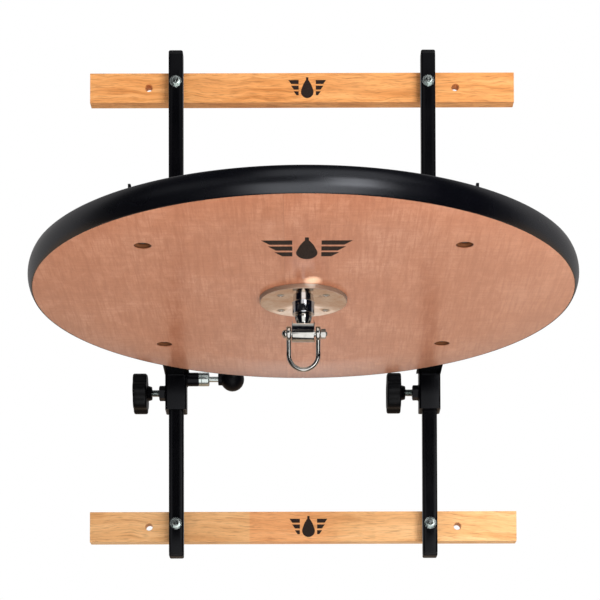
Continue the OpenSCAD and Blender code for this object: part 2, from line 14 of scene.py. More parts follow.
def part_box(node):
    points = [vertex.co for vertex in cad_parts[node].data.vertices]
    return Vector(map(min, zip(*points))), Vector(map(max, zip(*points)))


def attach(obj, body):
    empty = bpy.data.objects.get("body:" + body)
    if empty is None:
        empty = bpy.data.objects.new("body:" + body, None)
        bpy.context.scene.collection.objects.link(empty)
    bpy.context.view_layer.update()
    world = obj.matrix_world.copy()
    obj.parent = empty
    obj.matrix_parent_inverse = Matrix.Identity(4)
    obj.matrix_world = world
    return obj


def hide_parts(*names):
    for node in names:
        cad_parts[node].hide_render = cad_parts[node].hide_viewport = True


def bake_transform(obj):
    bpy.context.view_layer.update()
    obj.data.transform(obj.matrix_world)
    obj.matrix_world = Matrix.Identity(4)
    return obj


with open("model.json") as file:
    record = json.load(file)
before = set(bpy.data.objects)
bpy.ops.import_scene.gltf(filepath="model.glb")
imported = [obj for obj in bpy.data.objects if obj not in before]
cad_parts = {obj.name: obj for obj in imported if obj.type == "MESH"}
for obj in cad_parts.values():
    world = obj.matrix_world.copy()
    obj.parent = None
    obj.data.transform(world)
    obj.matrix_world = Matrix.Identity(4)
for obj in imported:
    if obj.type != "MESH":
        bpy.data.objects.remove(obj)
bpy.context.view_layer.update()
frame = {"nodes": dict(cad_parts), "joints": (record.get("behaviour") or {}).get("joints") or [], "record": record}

MM = 0.001
BODY_OF = {n: b for b, nodes in frame["record"]["behaviour"]["bodies"].items() for n in nodes}
MOUNTS = {m["name"]: m for m in frame["record"]["mounts"]}


# --- Places ---

def middle(node):
    """Centre of a CAD node's box."""
    low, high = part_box(node)
    return (low + high) / 2


def span(node):
    """Size of a CAD node's box."""
    low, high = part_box(node)
    return high - low


disc_low, disc_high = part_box("disc_board")
DISC_MID = middle("disc_board")
DISC_UNDER = disc_low.z
WOOD_R = span("disc_board").y / 2
TUBE_W = span("left_tube").x
SIDES = {"left": middle("left_tube"), "right": middle("right_tube")}
CLAMP_Z = middle("left_clamp_nut").z
PIN_Z = middle("pin_housing").z
PIVOT_Z = middle("cross_nut").z
STUD_PITCH = MOUNTS["wall_holes"]["dims"]["spacing_x_mm"] * MM
WALL_HOLE_R = MOUNTS["wall_holes"]["dims"]["hole_r_mm"] * MM
FRAME_WASHER_R = 8 * MM
FRAME_BOLT_R = 3 * MM
FRAME_HOLE_R = 3.25 * MM
FRAME_RECESS_R = 7.5 * MM
FRAME_RECESS = 4.5 * MM
DISC_WASHER_R = 8.5 * MM
DISC_BOLT_R = 4 * MM
DISC_HOLE_R = 4.2 * MM
DISC_RECESS_R = 9.25 * MM
DISC_RECESS = 7 * MM
PLATE_T = 5 * MM
PLATE_SCREW_AT = 25 * MM
PLATE_SCREW_HOLE_R = 2.25 * MM
HOUSING_R = 12.25 * MM
PIN_R = 3.5 * MM
PIN_BORE_R = 3.55 * MM
PIN_HOLE_R = 3.8 * MM
PIN_STEP = 25 * MM
CLAMP_BOLT_R = 4.6 * MM
CROSS_BOLT_R = 3 * MM
DISC_BOLT_Y = (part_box("disc_washers")[0].y + DISC_WASHER_R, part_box("disc_washers")[1].y - DISC_WASHER_R)
PLATE_SCREWS = [(x * PLATE_SCREW_AT, DISC_MID.y + y * PLATE_SCREW_AT)
                for x, y in ((-1, -1), (1, -1), (1, 1), (-1, 1))]
THROUGH = 10 * MM  # how far a cutting tool runs past a face
ACROSS = 50 * MM  # half length of a cutting tool that goes right through


# --- Mesh tools ---

def moved(x, y, z):
    """Matrix that moves by x, y and z."""
    return Matrix.Translation((x, y, z))


def turned(angle, axis="Z"):
    """Matrix that turns by an angle in radians."""
    return Matrix.Rotation(angle, 4, axis)


def quads_between(mesh, lower, upper):
    """Joins two closed rings of the same count with quads."""
    count = len(lower)
    for i in range(count):
        j = (i + 1) % count
        mesh.faces.new((lower[i], lower[j], upper[j], upper[i]))


def lathe(profile, turns, place=None, warp=None):
    """Revolves (r, z) points about local Z. A point with r 0 is a pole; else the profile closes on itself.
    warp(r, z, angle) may return another (r, z) for lobes, grooves and ripples."""
    mesh = bmesh.new()
    rings = []
    for r, z in profile:
        if r == 0:
            rings.append([mesh.verts.new((0, 0, z))])
            continue
        ring = []
        for i in range(turns):
            a = tau * i / turns
            rr, zz = warp(r, z, a) if warp else (r, z)
            ring.append(mesh.verts.new((rr * cos(a), rr * sin(a), zz)))
        rings.append(ring)
    closed = len(rings[0]) > 1
    for lower, upper in zip(rings, rings[1:] + ([rings[0]] if closed else [])):
        if len(lower) == 1 and len(upper) == 1:
            continue
        if len(lower) == 1:
            for i in range(turns):
                mesh.faces.new((lower[0], upper[(i + 1) % turns], upper[i]))
        elif len(upper) == 1:
            for i in range(turns):
                mesh.faces.new((lower[i], lower[(i + 1) % turns], upper[0]))
        else:
            quads_between(mesh, lower, upper)
    return settle(mesh, place)


def settle(mesh, place=None):
    """Turns the faces outwards and moves the mesh to its place."""
    bmesh.ops.recalc_face_normals(mesh, faces=mesh.faces)
    if place is not None:
        mesh.transform(place)
    return mesh


def arc(cx, cy, r, start, end, steps=6):
    """Points on an arc, angles in degrees."""
    return [(cx + r * cos(radians(start + (end - start) * i / steps)),
             cy + r * sin(radians(start + (end - start) * i / steps)))
            for i in range(steps + 1)]


def round_outline(w, h, r, steps=6):
    """Outline of a rectangle with rounded corners, about the origin."""
    points = []
    for sx, sy, start in ((1, 1, 0), (-1, 1, 90), (-1, -1, 180), (1, -1, 270)):
        points += arc(sx * (w / 2 - r), sy * (h / 2 - r), r, start, start + 90, steps)
    return points


def loft(rings, place=None, closed=False):
    """Skin through rings of as many points each, with a face over both ends or joined end to end."""
    mesh = bmesh.new()
    made = [[mesh.verts.new(point) for point in ring] for ring in rings]
    for lower, upper in zip(made, made[1:]):
        quads_between(mesh, lower, upper)
    if closed:
        quads_between(mesh, made[-1], made[0])
    else:
        mesh.faces.new(made[0])
        mesh.faces.new(made[-1])
    return settle(mesh, place)


def prism(outline, low, high, place=None, inner=None):
    """Outline raised along Z between two heights, with an optional inner outline of as many points."""
    rings = [[(x, y, z) for x, y in outline] for z in (low, high)]
    if inner is not None:
        rings += [[(x, y, z) for x, y in inner] for z in (high, low)]
    return loft(rings, place, inner is not None)


def rod(r, low, high, place):
    """Plain cylinder with 48 sides, used as a cutting tool."""
    return prism(arc(0, 0, r, 0, 360 - 360 / 48, 47), low, high, place)


def soften(mesh, width, segments=2, angle=30):
    """Rounds every edge sharper than angle."""
    sharp = [e for e in mesh.edges if len(e.link_faces) == 2
             and e.calc_face_angle(0) > radians(angle)]
    bmesh.ops.bevel(mesh, geom=sharp, offset=width, segments=segments, profile=0.5,
                    affect="EDGES", clamp_overlap=True)
    return settle(mesh)


def sweep(path, radius, sides):
    """Round bar along a list of points. radius is a number or a function of the share of the way."""
    rings = []
    last = len(path) - 1
    up = Vector((0, 1, 0))
    for i, p in enumerate(path):
        ahead = (path[min(i + 1, last)] - path[max(i - 1, 0)]).normalized()
        if abs(ahead.dot(up)) > 0.9:
            up = Vector((1, 0, 0))
        side = ahead.cross(up).normalized()
        up = side.cross(ahead).normalized()
        r = radius(i / last) if callable(radius) else radius
        rings.append([p + r * (side * cos(tau * k / sides) + up * sin(tau * k / sides))
                      for k in range(sides)])
    return loft(rings)


def mesh_data(name, mesh, *materials):
    """Turns a bmesh into mesh data and frees it."""
    data = bpy.data.meshes.new(name)
    mesh.to_mesh(data)
    mesh.free()
    for material in materials:
        data.materials.append(material)
    return data


def show(name, data):
    """Puts an object with this data in the scene."""
    made = bpy.data.objects.new(name, data)
    bpy.context.scene.collection.objects.link(made)
    return made


def finer(points, step, least):
    """Cuts the straight runs between points into equal lengths near a step, at least a few to each run."""
    path = []
    for a, b in zip(points, points[1:]):
        count = max(least, round((b - a).length / step))
        path += [a.lerp(b, i / count) for i in range(count)]
    return path + [points[-1]]


def joined(*meshes):
    """One mesh that holds several separate shells."""
    whole = bmesh.new()
    for mesh in meshes:
        spare = mesh_data("spare", mesh)
        whole.from_mesh(spare)
        bpy.data.meshes.remove(spare)
    return whole


def combine(mesh, tools, operation="DIFFERENCE"):
    """Cuts the tools from a mesh, or unites them with it. All are bmeshes, and a new one comes back."""
    base, *cutters = [show("spare", mesh_data("spare", m)) for m in [mesh, *tools]]
    for cutter in cutters:
        step = base.modifiers.new("combine", "BOOLEAN")
        step.operation = operation
        step.solver = "EXACT"
        step.object = cutter
    bpy.context.view_layer.update()
    result = bmesh.new()
    result.from_object(base, bpy.context.evaluated_depsgraph_get())
    for spare in [base] + cutters:
        data = spare.data
        bpy.data.objects.remove(spare)
        bpy.data.meshes.remove(data)
    return result


def piece(name, mesh, material, body, angle=35):
    """Makes an object that moves with a CAD body."""
    data = mesh_data(name, mesh, material)
    data.shade_smooth()
    data.set_sharp_from_angle(angle=radians(angle))
    made = show(name, data)
    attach(made, body)
    return made


def stand_in(node, mesh, material, angle=35):
    """A finished piece that is shown in place of one CAD node and moves with its body."""
    made = piece(node + "_look", mesh, material, BODY_OF[node], angle)
    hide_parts(node)
    return made


def coat(node, material):
    """Gives a CAD node that is shown as it is one of the materials below."""
    materials = frame["nodes"][node].data.materials
    materials.clear()
    materials.append(material)


def aim(at, z_axis):
    """Matrix that puts local Z along an axis at a point. Local X stays level where it can."""
    z = Vector(z_axis).normalized()
    x = Vector((0, 0, 1)).cross(z)
    x = Vector((1, 0, 0)) if x.length < 1e-6 else x.normalized()
    y = z.cross(x)
    turn = Matrix((x, y, z)).transposed().to_4x4()
    return Matrix.Translation(at) @ turn


# --- Materials ---

class Nodes:
    """Short calls for the nodes that the materials and the studio need."""

    def __init__(self, tree):
        self.tree = tree

    def add(self, kind, inputs=(), **settings):
        """Adds a node. inputs are (name or index, value or socket) pairs."""
        made = self.tree.nodes.new("ShaderNode" + kind)
        for key, value in settings.items():
            setattr(made, key, value)
        for key, value in inputs:
            self.put(made.inputs[key], value)
        return made

    def put(self, socket, value):
        if isinstance(value, bpy.types.NodeSocket):
            self.tree.links.new(value, socket)
        elif isinstance(value, tuple) and len(value) == 3 and socket.type == "RGBA":
            socket.default_value = (*value, 1)
        else:
            socket.default_value = value

    def vector(self, operation, first, second=(0, 0, 0)):
        return self.add("VectorMath", [(0, first), (1, second)], operation=operation).outputs

    def noise(self, vector, scale, detail, rough, twist=0.0):
        """Noise at a scale per metre, which may differ along X, Y and Z."""
        if isinstance(scale, tuple):
            vector = self.add("Mapping", [("Vector", vector), ("Scale", scale)]).outputs[0]
            scale = 1
        return self.add("TexNoise", [("Vector", vector), ("Scale", scale), ("Detail", detail),
                                     ("Roughness", rough), ("Distortion", twist)]).outputs["Fac"]

    def ramp(self, value, *stops):
        """Colour ramp through (place, colour or grey) stops."""
        made = self.add("ValToRGB", [("Fac", value)])
        band = made.color_ramp
        while len(band.elements) < len(stops):
            band.elements.new(0.5)
        for element, (at, colour) in zip(band.elements, stops):
            element.position = at
            element.color = (*colour, 1) if isinstance(colour, tuple) else (colour,) * 3 + (1,)
        return made.outputs["Color"]

    def mix(self, share, first, second, blend="MIX"):
        made = self.add("Mix", [(0, share), (6, first), (7, second)], data_type="RGBA",
                        blend_type=blend)
        return made.outputs[2]

    def math(self, operation, first, second=0.0):
        return self.add("Math", [(0, first), (1, second)], operation=operation).outputs[0]

    def times(self, first, second):
        return self.math("MULTIPLY", first, second)

    def fit(self, value, low, high, to_low=0.0, to_high=1.0):
        return self.add("MapRange", [("Value", value), ("From Min", low), ("From Max", high),
                                     ("To Min", to_low), ("To Max", to_high)]).outputs["Result"]

    def window(self, value, start, end, soft):
        """1 between start and end, falling to 0 over the soft distance outside them."""
        return self.math("MINIMUM", self.fit(value, start - soft, start),
                         self.fit(value, end, end + soft, 1.0, 0.0))


class Shader(Nodes):
    """A node material around a Principled BSDF, with object coordinates in metres."""

    def __init__(self, name):
        self.material = bpy.data.materials.new(name)
        self.material.use_nodes = True
        super().__init__(self.material.node_tree)
        self.bsdf = self.tree.nodes["Principled BSDF"]
        self.place = self.add("TexCoord").outputs["Object"]

    def set(self, **inputs):
        """Sets inputs of the Principled BSDF; an underscore stands for a space."""
        for key, value in inputs.items():
            self.put(self.bsdf.inputs[key.replace("_", " ")], value)
        return self

    def edges(self, radius):
        """0 on flat faces and 1 along edges, where wear shows."""
        bent = self.add("Bevel", [("Radius", radius)], samples=4).outputs["Normal"]
        flat = self.add("NewGeometry").outputs["Normal"]
        facing = self.vector("DOT_PRODUCT", bent, flat)["Value"]
        return self.fit(self.math("SUBTRACT", 1.0, facing), 0.02, 0.3)

    def bump(self, height, strength, distance):
        made = self.add("Bump", [("Height", height), ("Strength", strength),
                                 ("Distance", distance)])
        self.put(self.bsdf.inputs["Normal"], made.outputs["Normal"])
        return self


def board_wood(name, seed, stops, red_from=None, red_to=None):
    """Oiled pale hardwood with wavy grain along X. stops are its dark, middle and light colours, and
    a board may have a redder length jointed in."""
    s = Shader(name)
    shift = s.vector("ADD", s.place, (seed, seed * 0.37, 0))[0]
    sway = s.noise(shift, (11, 4, 14), 2, 0.5)
    rise = s.add("CombineXYZ", [("Z", s.times(sway, 0.022))]).outputs[0]
    bent = s.vector("ADD", shift, rise)[0]
    figure = s.noise(bent, (10, 60, 130), 4, 0.6, 0.5)
    streak = s.noise(bent, (38, 400, 620), 3, 0.6, 0.3)
    patch = s.noise(shift, (7, 7, 22), 3, 0.5)
    dark, middle_tone, light = stops
    colour = s.ramp(figure, (0.32, dark), (0.5, middle_tone), (0.68, light))
    colour = s.mix(s.fit(patch, 0.35, 0.7, 0.0, 0.55), colour, light)
    flecks = s.noise(bent, (60, 600, 900), 2, 0.6)
    colour = s.mix(s.fit(streak, 0.32, 0.48, 0.60, 0.0), colour, tuple(c * 0.62 for c in dark))
    colour = s.mix(s.fit(flecks, 0.32, 0.46, 0.35, 0.0), colour, tuple(c * 0.45 for c in dark))
    if red_from is not None:
        x = s.add("SeparateXYZ", [(0, s.place)]).outputs["X"]
        red = s.math("MINIMUM", s.fit(x, red_from, red_from + MM),
                     s.fit(x, red_to - 0.05, red_to, 1.0, 0.0))
        colour = s.mix(s.times(red, 0.75), colour, (1.0, 0.80, 0.72), "MULTIPLY")
    colour = s.mix(s.times(s.edges(1.5 * MM), 0.35), colour, light)
    s.set(Base_Color=colour, Roughness=s.fit(streak, 0.3, 0.7, 0.5, 0.62), Specular_IOR_Level=0.35)
    return s.bump(streak, 0.2, 0.2 * MM).material


def disc_wood():
    """Varnished reddish veneer: mottled, with the grain from front to back, one seam left of the middle, and
    painted light that lightens it towards the right. The cut ply in the recesses and the groove is bare and
    striped by its plies, and painted shade darkens it."""
    s = Shader("disc_veneer")
    split = s.add("SeparateXYZ", [(0, s.place)])
    x, z = split.outputs["X"], split.outputs["Z"]
    seam_x = -20 * MM
    left = s.math("LESS_THAN", x, seam_x)
    sheet = s.add("CombineXYZ", [("X", s.times(left, 3.7)), ("Y", s.times(left, 1.3)),
                                 ("Z", 0.0)]).outputs[0]
    laid = s.vector("ADD", s.place, sheet)[0]

    def layer(scale, detail, rough, twist=0.3):
        return s.noise(laid, scale, detail, rough, twist)

    cloudy = layer((13, 6, 8), 3, 0.55, 0.5)
    blotch = layer((55, 24, 30), 3, 0.6, 0.8)
    grain = layer((330, 18, 60), 4, 0.6)
    ripple = layer((40, 190, 60), 3, 0.6, 0.6)
    pores = layer((1000, 190, 300), 2, 0.6)
    colour = s.ramp(cloudy, (0.28, (0.505, 0.182, 0.090)), (0.5, (0.565, 0.222, 0.115)),
                    (0.74, (0.620, 0.275, 0.160)))
    near_seam = s.math("ABSOLUTE", s.math("SUBTRACT", x, seam_x))
    for share, tone in ((s.fit(blotch, 0.36, 0.60, 0.42, 0.0), (0.450, 0.145, 0.062)),
                        (s.fit(blotch, 0.5, 0.72, 0.0, 0.26), (0.720, 0.340, 0.210)),
                        (s.fit(grain, 0.38, 0.56, 0.50, 0.0), (0.40, 0.125, 0.055)),
                        (s.fit(ripple, 0.38, 0.58, 0.30, 0.0), (0.40, 0.130, 0.060)),
                        (s.fit(pores, 0.30, 0.42, 0.28, 0.0), (0.25, 0.085, 0.040)),
                        (s.times(left, 0.08), (0.36, 0.150, 0.070)),
                        # painted light: the veneer turns lighter towards the right, where the key light falls
                        (s.fit(x, 0.02, 0.26, 0.0, 0.26), (0.68, 0.36, 0.24)),
                        (s.fit(near_seam, 0.0, 0.6 * MM, 0.35, 0.0), (0.25, 0.09, 0.045))):
        colour = s.mix(share, colour, tone)
    # painted shade: the cut ply inside the recesses and the groove is coloured far darker than the veneer, as
    # shade would darken it; the stripes are its plies
    inside = s.window(z, DISC_UNDER + 0.9 * MM, disc_high.z - 0.9 * MM, 0.2 * MM)
    bare_ply_and_shade = s.ramp(s.math("FRACT", s.times(z, 1 / (4.4 * MM))), (0.45, (0.20, 0.072, 0.028)),
                   (0.55, (0.115, 0.040, 0.016)))
    colour = s.mix(inside, colour, bare_ply_and_shade)
    s.set(Base_Color=colour, Roughness=0.5, Specular_IOR_Level=0.25,
          Coat_Weight=s.math("SUBTRACT", 1.0, inside),
          Coat_Roughness=s.fit(cloudy, 0.3, 0.7, 0.15, 0.22), Coat_IOR=1.5)
    return s.bump(grain, 0.08, 0.2 * MM).material


def rubber():
    """Satin blue-black rubber moulding with a fine skin."""
    s = Shader("bumper_rubber")
    skin = s.noise(s.place, 900, 3, 0.6)
    wide = s.noise(s.place, 14, 3, 0.5)
    colour = s.ramp(wide, (0.3, (0.0008, 0.0009, 0.0018)), (0.7, (0.0016, 0.0017, 0.0028)))
    scuff = s.ramp(s.noise(s.place, (60, 60, 400), 4, 0.7, 1.0), (0.62, 0.0), (0.75, 1.0))
    colour = s.mix(s.times(scuff, 0.15), colour, (0.020, 0.020, 0.024))
    s.set(Base_Color=colour, Roughness=s.fit(wide, 0.3, 0.7, 0.23, 0.29), Specular_IOR_Level=0.95,
          Specular_Tint=(0.90, 0.93, 1.0))
    return s.bump(skin, 0.08, 0.12 * MM).material


def powder_coat():
    """Black powder coat on steel: slight orange peel, with the edges worn to a greyer sheen."""
    s = Shader("black_powder_coat")
    peel = s.noise(s.place, 1400, 2, 0.5)
    wide = s.noise(s.place, 22, 3, 0.55)
    colour = s.ramp(wide, (0.3, (0.0007, 0.0007, 0.0012)), (0.7, (0.0015, 0.0014, 0.0020)))
    patches = s.ramp(s.noise(s.place, 160, 4, 0.7), (0.42, 0.0), (0.62, 1.0))
    worn = s.times(s.edges(1.2 * MM), patches)
    colour = s.mix(s.times(worn, 0.6), colour, (0.035, 0.035, 0.042))
    s.set(Base_Color=colour, Roughness=s.fit(wide, 0.3, 0.7, 0.19, 0.25), Specular_IOR_Level=0.15,
          Specular_Tint=(0.93, 0.95, 1.0))
    return s.bump(peel, 0.12, 0.15 * MM).material


def moulded_plastic(name, roughness=0.3, tint=(0.0014, 0.0014, 0.0020)):
    """Black moulded plastic with a spark-eroded texture."""
    s = Shader(name)
    grit = s.noise(s.place, 1900, 2, 0.6)
    wide = s.noise(s.place, 40, 3, 0.5)
    colour = s.mix(s.times(s.edges(0.8 * MM), 0.35), tint, tuple(5 * c for c in tint))
    s.set(Base_Color=colour, Roughness=s.fit(wide, 0.3, 0.7, roughness - 0.04, roughness + 0.06),
          Specular_IOR_Level=0.16)
    return s.bump(grit, 0.16, 0.10 * MM).material


def black_oxide():
    """Blackened steel fasteners, rubbed a little brighter on their edges."""
    s = Shader("black_oxide")
    mottle = s.noise(s.place, 420, 3, 0.6)
    colour = s.ramp(mottle, (0.35, (0.006, 0.006, 0.007)), (0.7, (0.012, 0.012, 0.014)))
    colour = s.mix(s.times(s.edges(0.4 * MM), 0.5), colour, (0.07, 0.07, 0.075))
    s.set(Base_Color=colour, Metallic=0.4, Roughness=s.fit(mottle, 0.3, 0.7, 0.35, 0.5))
    return s.bump(mottle, 0.08, 0.05 * MM).material


def zinc_plate():
    """Bright zinc plate with a faint green and yellow passivate and small scratches."""
    s = Shader("zinc_plate")
    cloud = s.noise(s.place, 160, 4, 0.6, 0.5)
    scratch = s.noise(s.place, (3000, 300, 3000), 3, 0.6)
    colour = s.ramp(cloud, (0.3, (0.50, 0.58, 0.55)), (0.55, (0.64, 0.70, 0.68)), (0.8, (0.70, 0.72, 0.66)))
    s.set(Base_Color=colour, Metallic=1.0, Roughness=s.fit(cloud, 0.3, 0.7, 0.16, 0.30))
    return s.bump(scratch, 0.06, 0.08 * MM).material


def chrome_plate():
    """Chrome plate with a slight haze and fine polishing lines."""
    s = Shader("chrome_plate")
    haze = s.noise(s.place, 120, 4, 0.6)
    lines = s.noise(s.place, (5200, 700, 700), 2, 0.5)
    colour = s.ramp(haze, (0.3, (0.50, 0.49, 0.46)), (0.7, (0.66, 0.645, 0.61)))
    s.set(Base_Color=colour, Metallic=1.0, Roughness=s.fit(haze, 0.3, 0.75, 0.05, 0.11))
    return s.bump(lines, 0.02, 0.05 * MM).material


def plate_chrome():
    """Chrome with fine specks on the swivel plate, tinted warm as a painted reflection of its surroundings, a
    satin rim painted reddish brown as the disc's reflection, and a bright housing.
    """
    s = Shader("plate_chrome")
    haze = s.noise(s.place, 60, 3, 0.6)
    specks = s.noise(s.place, 1500, 3, 0.7)
    # painted reflection: the plate's chrome is tinted warm in place of the warm surroundings it would mirror; the
    # specks are its own
    colour = s.ramp(haze, (0.3, (0.82, 0.62, 0.49)), (0.7, (0.95, 0.86, 0.78)))
    colour = s.mix(s.fit(specks, 0.36, 0.48, 0.35, 0.0), colour, (0.46, 0.37, 0.30))
    from_axis = s.vector("SUBTRACT", s.place, (DISC_MID.x, DISC_MID.y, DISC_UNDER))[0]
    radius = s.vector("LENGTH", s.vector("MULTIPLY", from_axis, (1, 1, 0))[0])["Value"]
    rim = s.fit(radius, 48.0 * MM, 48.4 * MM)
    housing = s.fit(radius, 12.4 * MM, 12.9 * MM, 1.0, 0.0)
    # painted reflection: the rim is coloured the reddish brown of the disc that it would mirror
    colour = s.mix(rim, colour, (0.36, 0.22, 0.15))
    colour = s.mix(housing, colour, (0.66, 0.67, 0.70))
    s.set(Base_Color=colour, Metallic=s.fit(rim, 0.0, 1.0, 1.0, 0.35),
          Roughness=s.math("ADD", s.fit(rim, 0.0, 1.0, 0.09, 0.38), s.times(housing, -0.05)))
    return s.bump(specks, 0.02, 0.05 * MM).material


def brass():
    """Turned brass with fine rings."""
    s = Shader("turned_brass")
    rings = s.noise(s.place, (4000, 60, 60), 2, 0.5)
    s.set(Base_Color=s.ramp(rings, (0.3, (0.52, 0.36, 0.13)), (0.7, (0.68, 0.50, 0.22))), Metallic=1.0,
          Roughness=0.3)
    return s.bump(rings, 0.1, 0.1 * MM).material


def ink():
    """Dark screen-printed ink, slightly thin over the grain."""
    s = Shader("printed_ink")
    thin = s.noise(s.place, (900, 120, 900), 3, 0.6)
    s.set(Base_Color=s.ramp(thin, (0.35, (0.010, 0.007, 0.006)), (0.75, (0.040, 0.022, 0.016))),
          Roughness=0.6, Specular_IOR_Level=0.2)
    return s.material


POWDER = powder_coat()
RUBBER = rubber()
KNOB_PLASTIC = moulded_plastic("knob_plastic", 0.38)
CAP_PLASTIC = moulded_plastic("cap_plastic", 0.45, (0.0070, 0.0070, 0.0078))
LINER_NYLON = moulded_plastic("liner_nylon", 0.5, (0.0050, 0.0050, 0.0060))
ZINC = zinc_plate()
CHROME = chrome_plate()
PLATE_CHROME = plate_chrome()
BLACK_OXIDE = black_oxide()
DISC_WOOD = disc_wood()
INK = ink()
BRASS = brass()
BOARD_WOOD = {
    "top": board_wood("top_board_wood", 0.31,
                      ((0.56, 0.205, 0.050), (0.76, 0.320, 0.095), (0.86, 0.430, 0.160))),
    "bottom": board_wood("bottom_board_wood", 1.87,
                         ((0.66, 0.310, 0.110), (0.80, 0.430, 0.175), (0.88, 0.530, 0.250)), -0.071, 0.060),
}


# --- Wall frame ---

def make_board(which):
    """Batten with rounded long edges, eased wall screw holes and counterbores for the bolt heads."""
    node = which + "_board"
    low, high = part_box(node)
    mid = middle(node)
    size = high - low
    mesh = prism(round_outline(size.x, size.z, 0.4 * MM, 2), -size.y / 2, size.y / 2,
                 moved(*mid) @ turned(radians(90), "X"))
    mesh = soften(mesh, 1.3 * MM, 3, 60)
    tools = []
    for side in (-1, 1):
        at = aim((mid.x + side * STUD_PITCH / 2, 0, mid.z), (0, -1, 0))
        ease = 0.8 * MM
        tools.append(lathe([(0, -THROUGH), (WALL_HOLE_R, -THROUGH), (WALL_HOLE_R, size.y - ease),
                            (WALL_HOLE_R + 2 * ease, size.y + ease), (0, size.y + ease)], 48, at))
    for centre in SIDES.values():
        at = aim((centre.x, 0, mid.z), (0, -1, 0))
        tools.append(rod(FRAME_HOLE_R, -ACROSS, ACROSS, at))
        tools.append(rod(FRAME_RECESS_R, -THROUGH, FRAME_RECESS, at))
    stand_in(node, combine(mesh, tools), BOARD_WOOD[which]).visible_glossy = False


def square_tube(node, outer, inner, corner, inner_corner, tools):
    """Upright square tube in place of a node, with rounded corners and its holes cut."""
    low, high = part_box(node)
    mid = middle(node)
    mesh = prism(round_outline(outer, outer, corner), low.z, high.z,
                 moved(mid.x, mid.y, 0), round_outline(inner, inner, inner_corner))
    mesh = soften(mesh, 0.35 * MM, 2, 60)
    stand_in(node, combine(mesh, tools), POWDER)


def make_upright(side):
    """Tube of the wall frame. The left one has a hole for each height of the pull pin."""
    centre = SIDES[side]
    tools = [rod(FRAME_HOLE_R, -ACROSS, ACROSS, aim((centre.x, centre.y, middle(b).z), (0, -1, 0)))
             for b in ("top_board", "bottom_board")]
    if side == "left":
        slide = next(j for j in frame["joints"] if j["name"] == "height_slide")
        low, high = (round(x / PIN_STEP) for x in slide["range_m"])
        for i in range(low, high + 1):
            at = (centre.x, centre.y, PIN_Z + i * PIN_STEP)
            tools.append(rod(PIN_HOLE_R, 0, TUBE_W, aim(at, (1, 0, 0))))
    square_tube(side + "_tube", TUBE_W, TUBE_W - 3.2 * MM, 2.5 * MM, 1 * MM, tools)


def make_cap(node, up):
    """Plastic plug: a domed head beyond the tube's end and a plain stem inside it."""
    low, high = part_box(node)
    tube_low, tube_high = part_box("left_tube")
    end = tube_high.z if up else tube_low.z
    head_h = (high.z - end) if up else (end - low.z)
    crown = 1.9 * MM
    stem_w = TUBE_W - 3.6 * MM
    stem = round_outline(stem_w, stem_w, 1 * MM)
    rings = [[(x, y, z) for x, y in stem] for z in (-14 * MM, 0)]
    layers = [(0, 0), (0, head_h - crown)]
    layers += [(crown * (1 - cos(radians(a))), head_h - crown + crown * sin(radians(a)))
               for a in (22.5, 45, 67.5, 90)]
    for inset, z in layers:
        w = TUBE_W - 0.2 * MM - 2 * inset
        rings.append([(x, y, z) for x, y in round_outline(w, w, max(2.6 * MM - inset, 0.6 * MM))])
    mid = middle(node)
    stand_in(node, loft(rings, moved(mid.x, mid.y, end) @ turned(0 if up else pi, "X")), CAP_PLASTIC)


def hexagon_radius(flat, angle):
    """Distance from the centre to a hexagon's side at an angle."""
    sector = pi / 3
    return flat / 2 / cos((angle % sector) - sector / 2)


def nut_mesh(flat, thick, bore, place):
    """Hex nut with both ends' corners turned down and a countersunk thread."""
    corner = flat / 2 / cos(pi / 6)

    def warp(r, z, a):
        if r < flat / 2 * 0.96:
            return r, z
        reach = hexagon_radius(flat, a)
        fall = max(0.0, reach - flat / 2 * 0.98) * tan(radians(30))
        return reach, (thick - fall if z > thick / 2 else fall)

    lip = 0.5 * MM
    profile = [(bore, lip), (bore + lip, 0), (flat / 2 * 0.95, 0), (corner, 0.1 * thick),
               (corner, 0.9 * thick), (flat / 2 * 0.95, thick), (bore + lip, thick), (bore, thick - lip)]
    return lathe(profile, 72, place, warp)


def washer_mesh(r, bore, thick, place):
    """Flat washer with eased outer edges."""
    e = 0.25 * MM
    profile = [(bore, 0), (r - e, 0), (r, e), (r, thick - e), (r - e, thick), (bore, thick)]
    return lathe(profile, 64, place)


def thread_mesh(r, pitch, low, high, place, depth=0.55, turns=28):
    """Threaded rod: a rod whose radius follows a helix, with chamfered ends."""
    steps_per_turn = 8
    count = max(2, round((high - low) / pitch * steps_per_turn))
    rings = []
    for i in range(count + 1):
        z = low + (high - low) * i / count
        ring = []
        for k in range(turns):
            phase = (z / pitch - k / turns) % 1
            cut = depth * pitch * abs(2 * phase - 1)
            rr = min(r - cut, r - 0.9 * MM + (z - low), r - 0.9 * MM + (high - z))
            a = tau * k / turns
            ring.append((rr * cos(a), rr * sin(a), z))
        rings.append(ring)
    return loft(rings, place)


def dome_profile(r, height, low, steps=8):
    """(r, z) points of a dome over the circle of radius r at z = low, from rim to pole."""
    ball = (r * r + height * height) / (2 * height)
    half = asin(min(1.0, r / ball))
    points = []
    for i in range(steps):
        a = half * (1 - i / steps)
        points.append((ball * sin(a), low + height - ball + ball * cos(a)))
    return points + [(0, low + height)]


def carriage_bolt(r, pitch, head_r, head_h, seat, thread_low, end, at, spin):
    """Domed head on a seat, a plain shank and a threaded end, along local Z."""
    head = [(x, 2 * seat - z) for x, z in dome_profile(head_r, head_h, seat)] + [(0, seat)]
    shank = [(0, seat), (r, seat), (r, thread_low), (0, thread_low)]
    return joined(lathe(head, 48, at), lathe(shank, 32, at), thread_mesh(r, pitch, thread_low, end, spin))


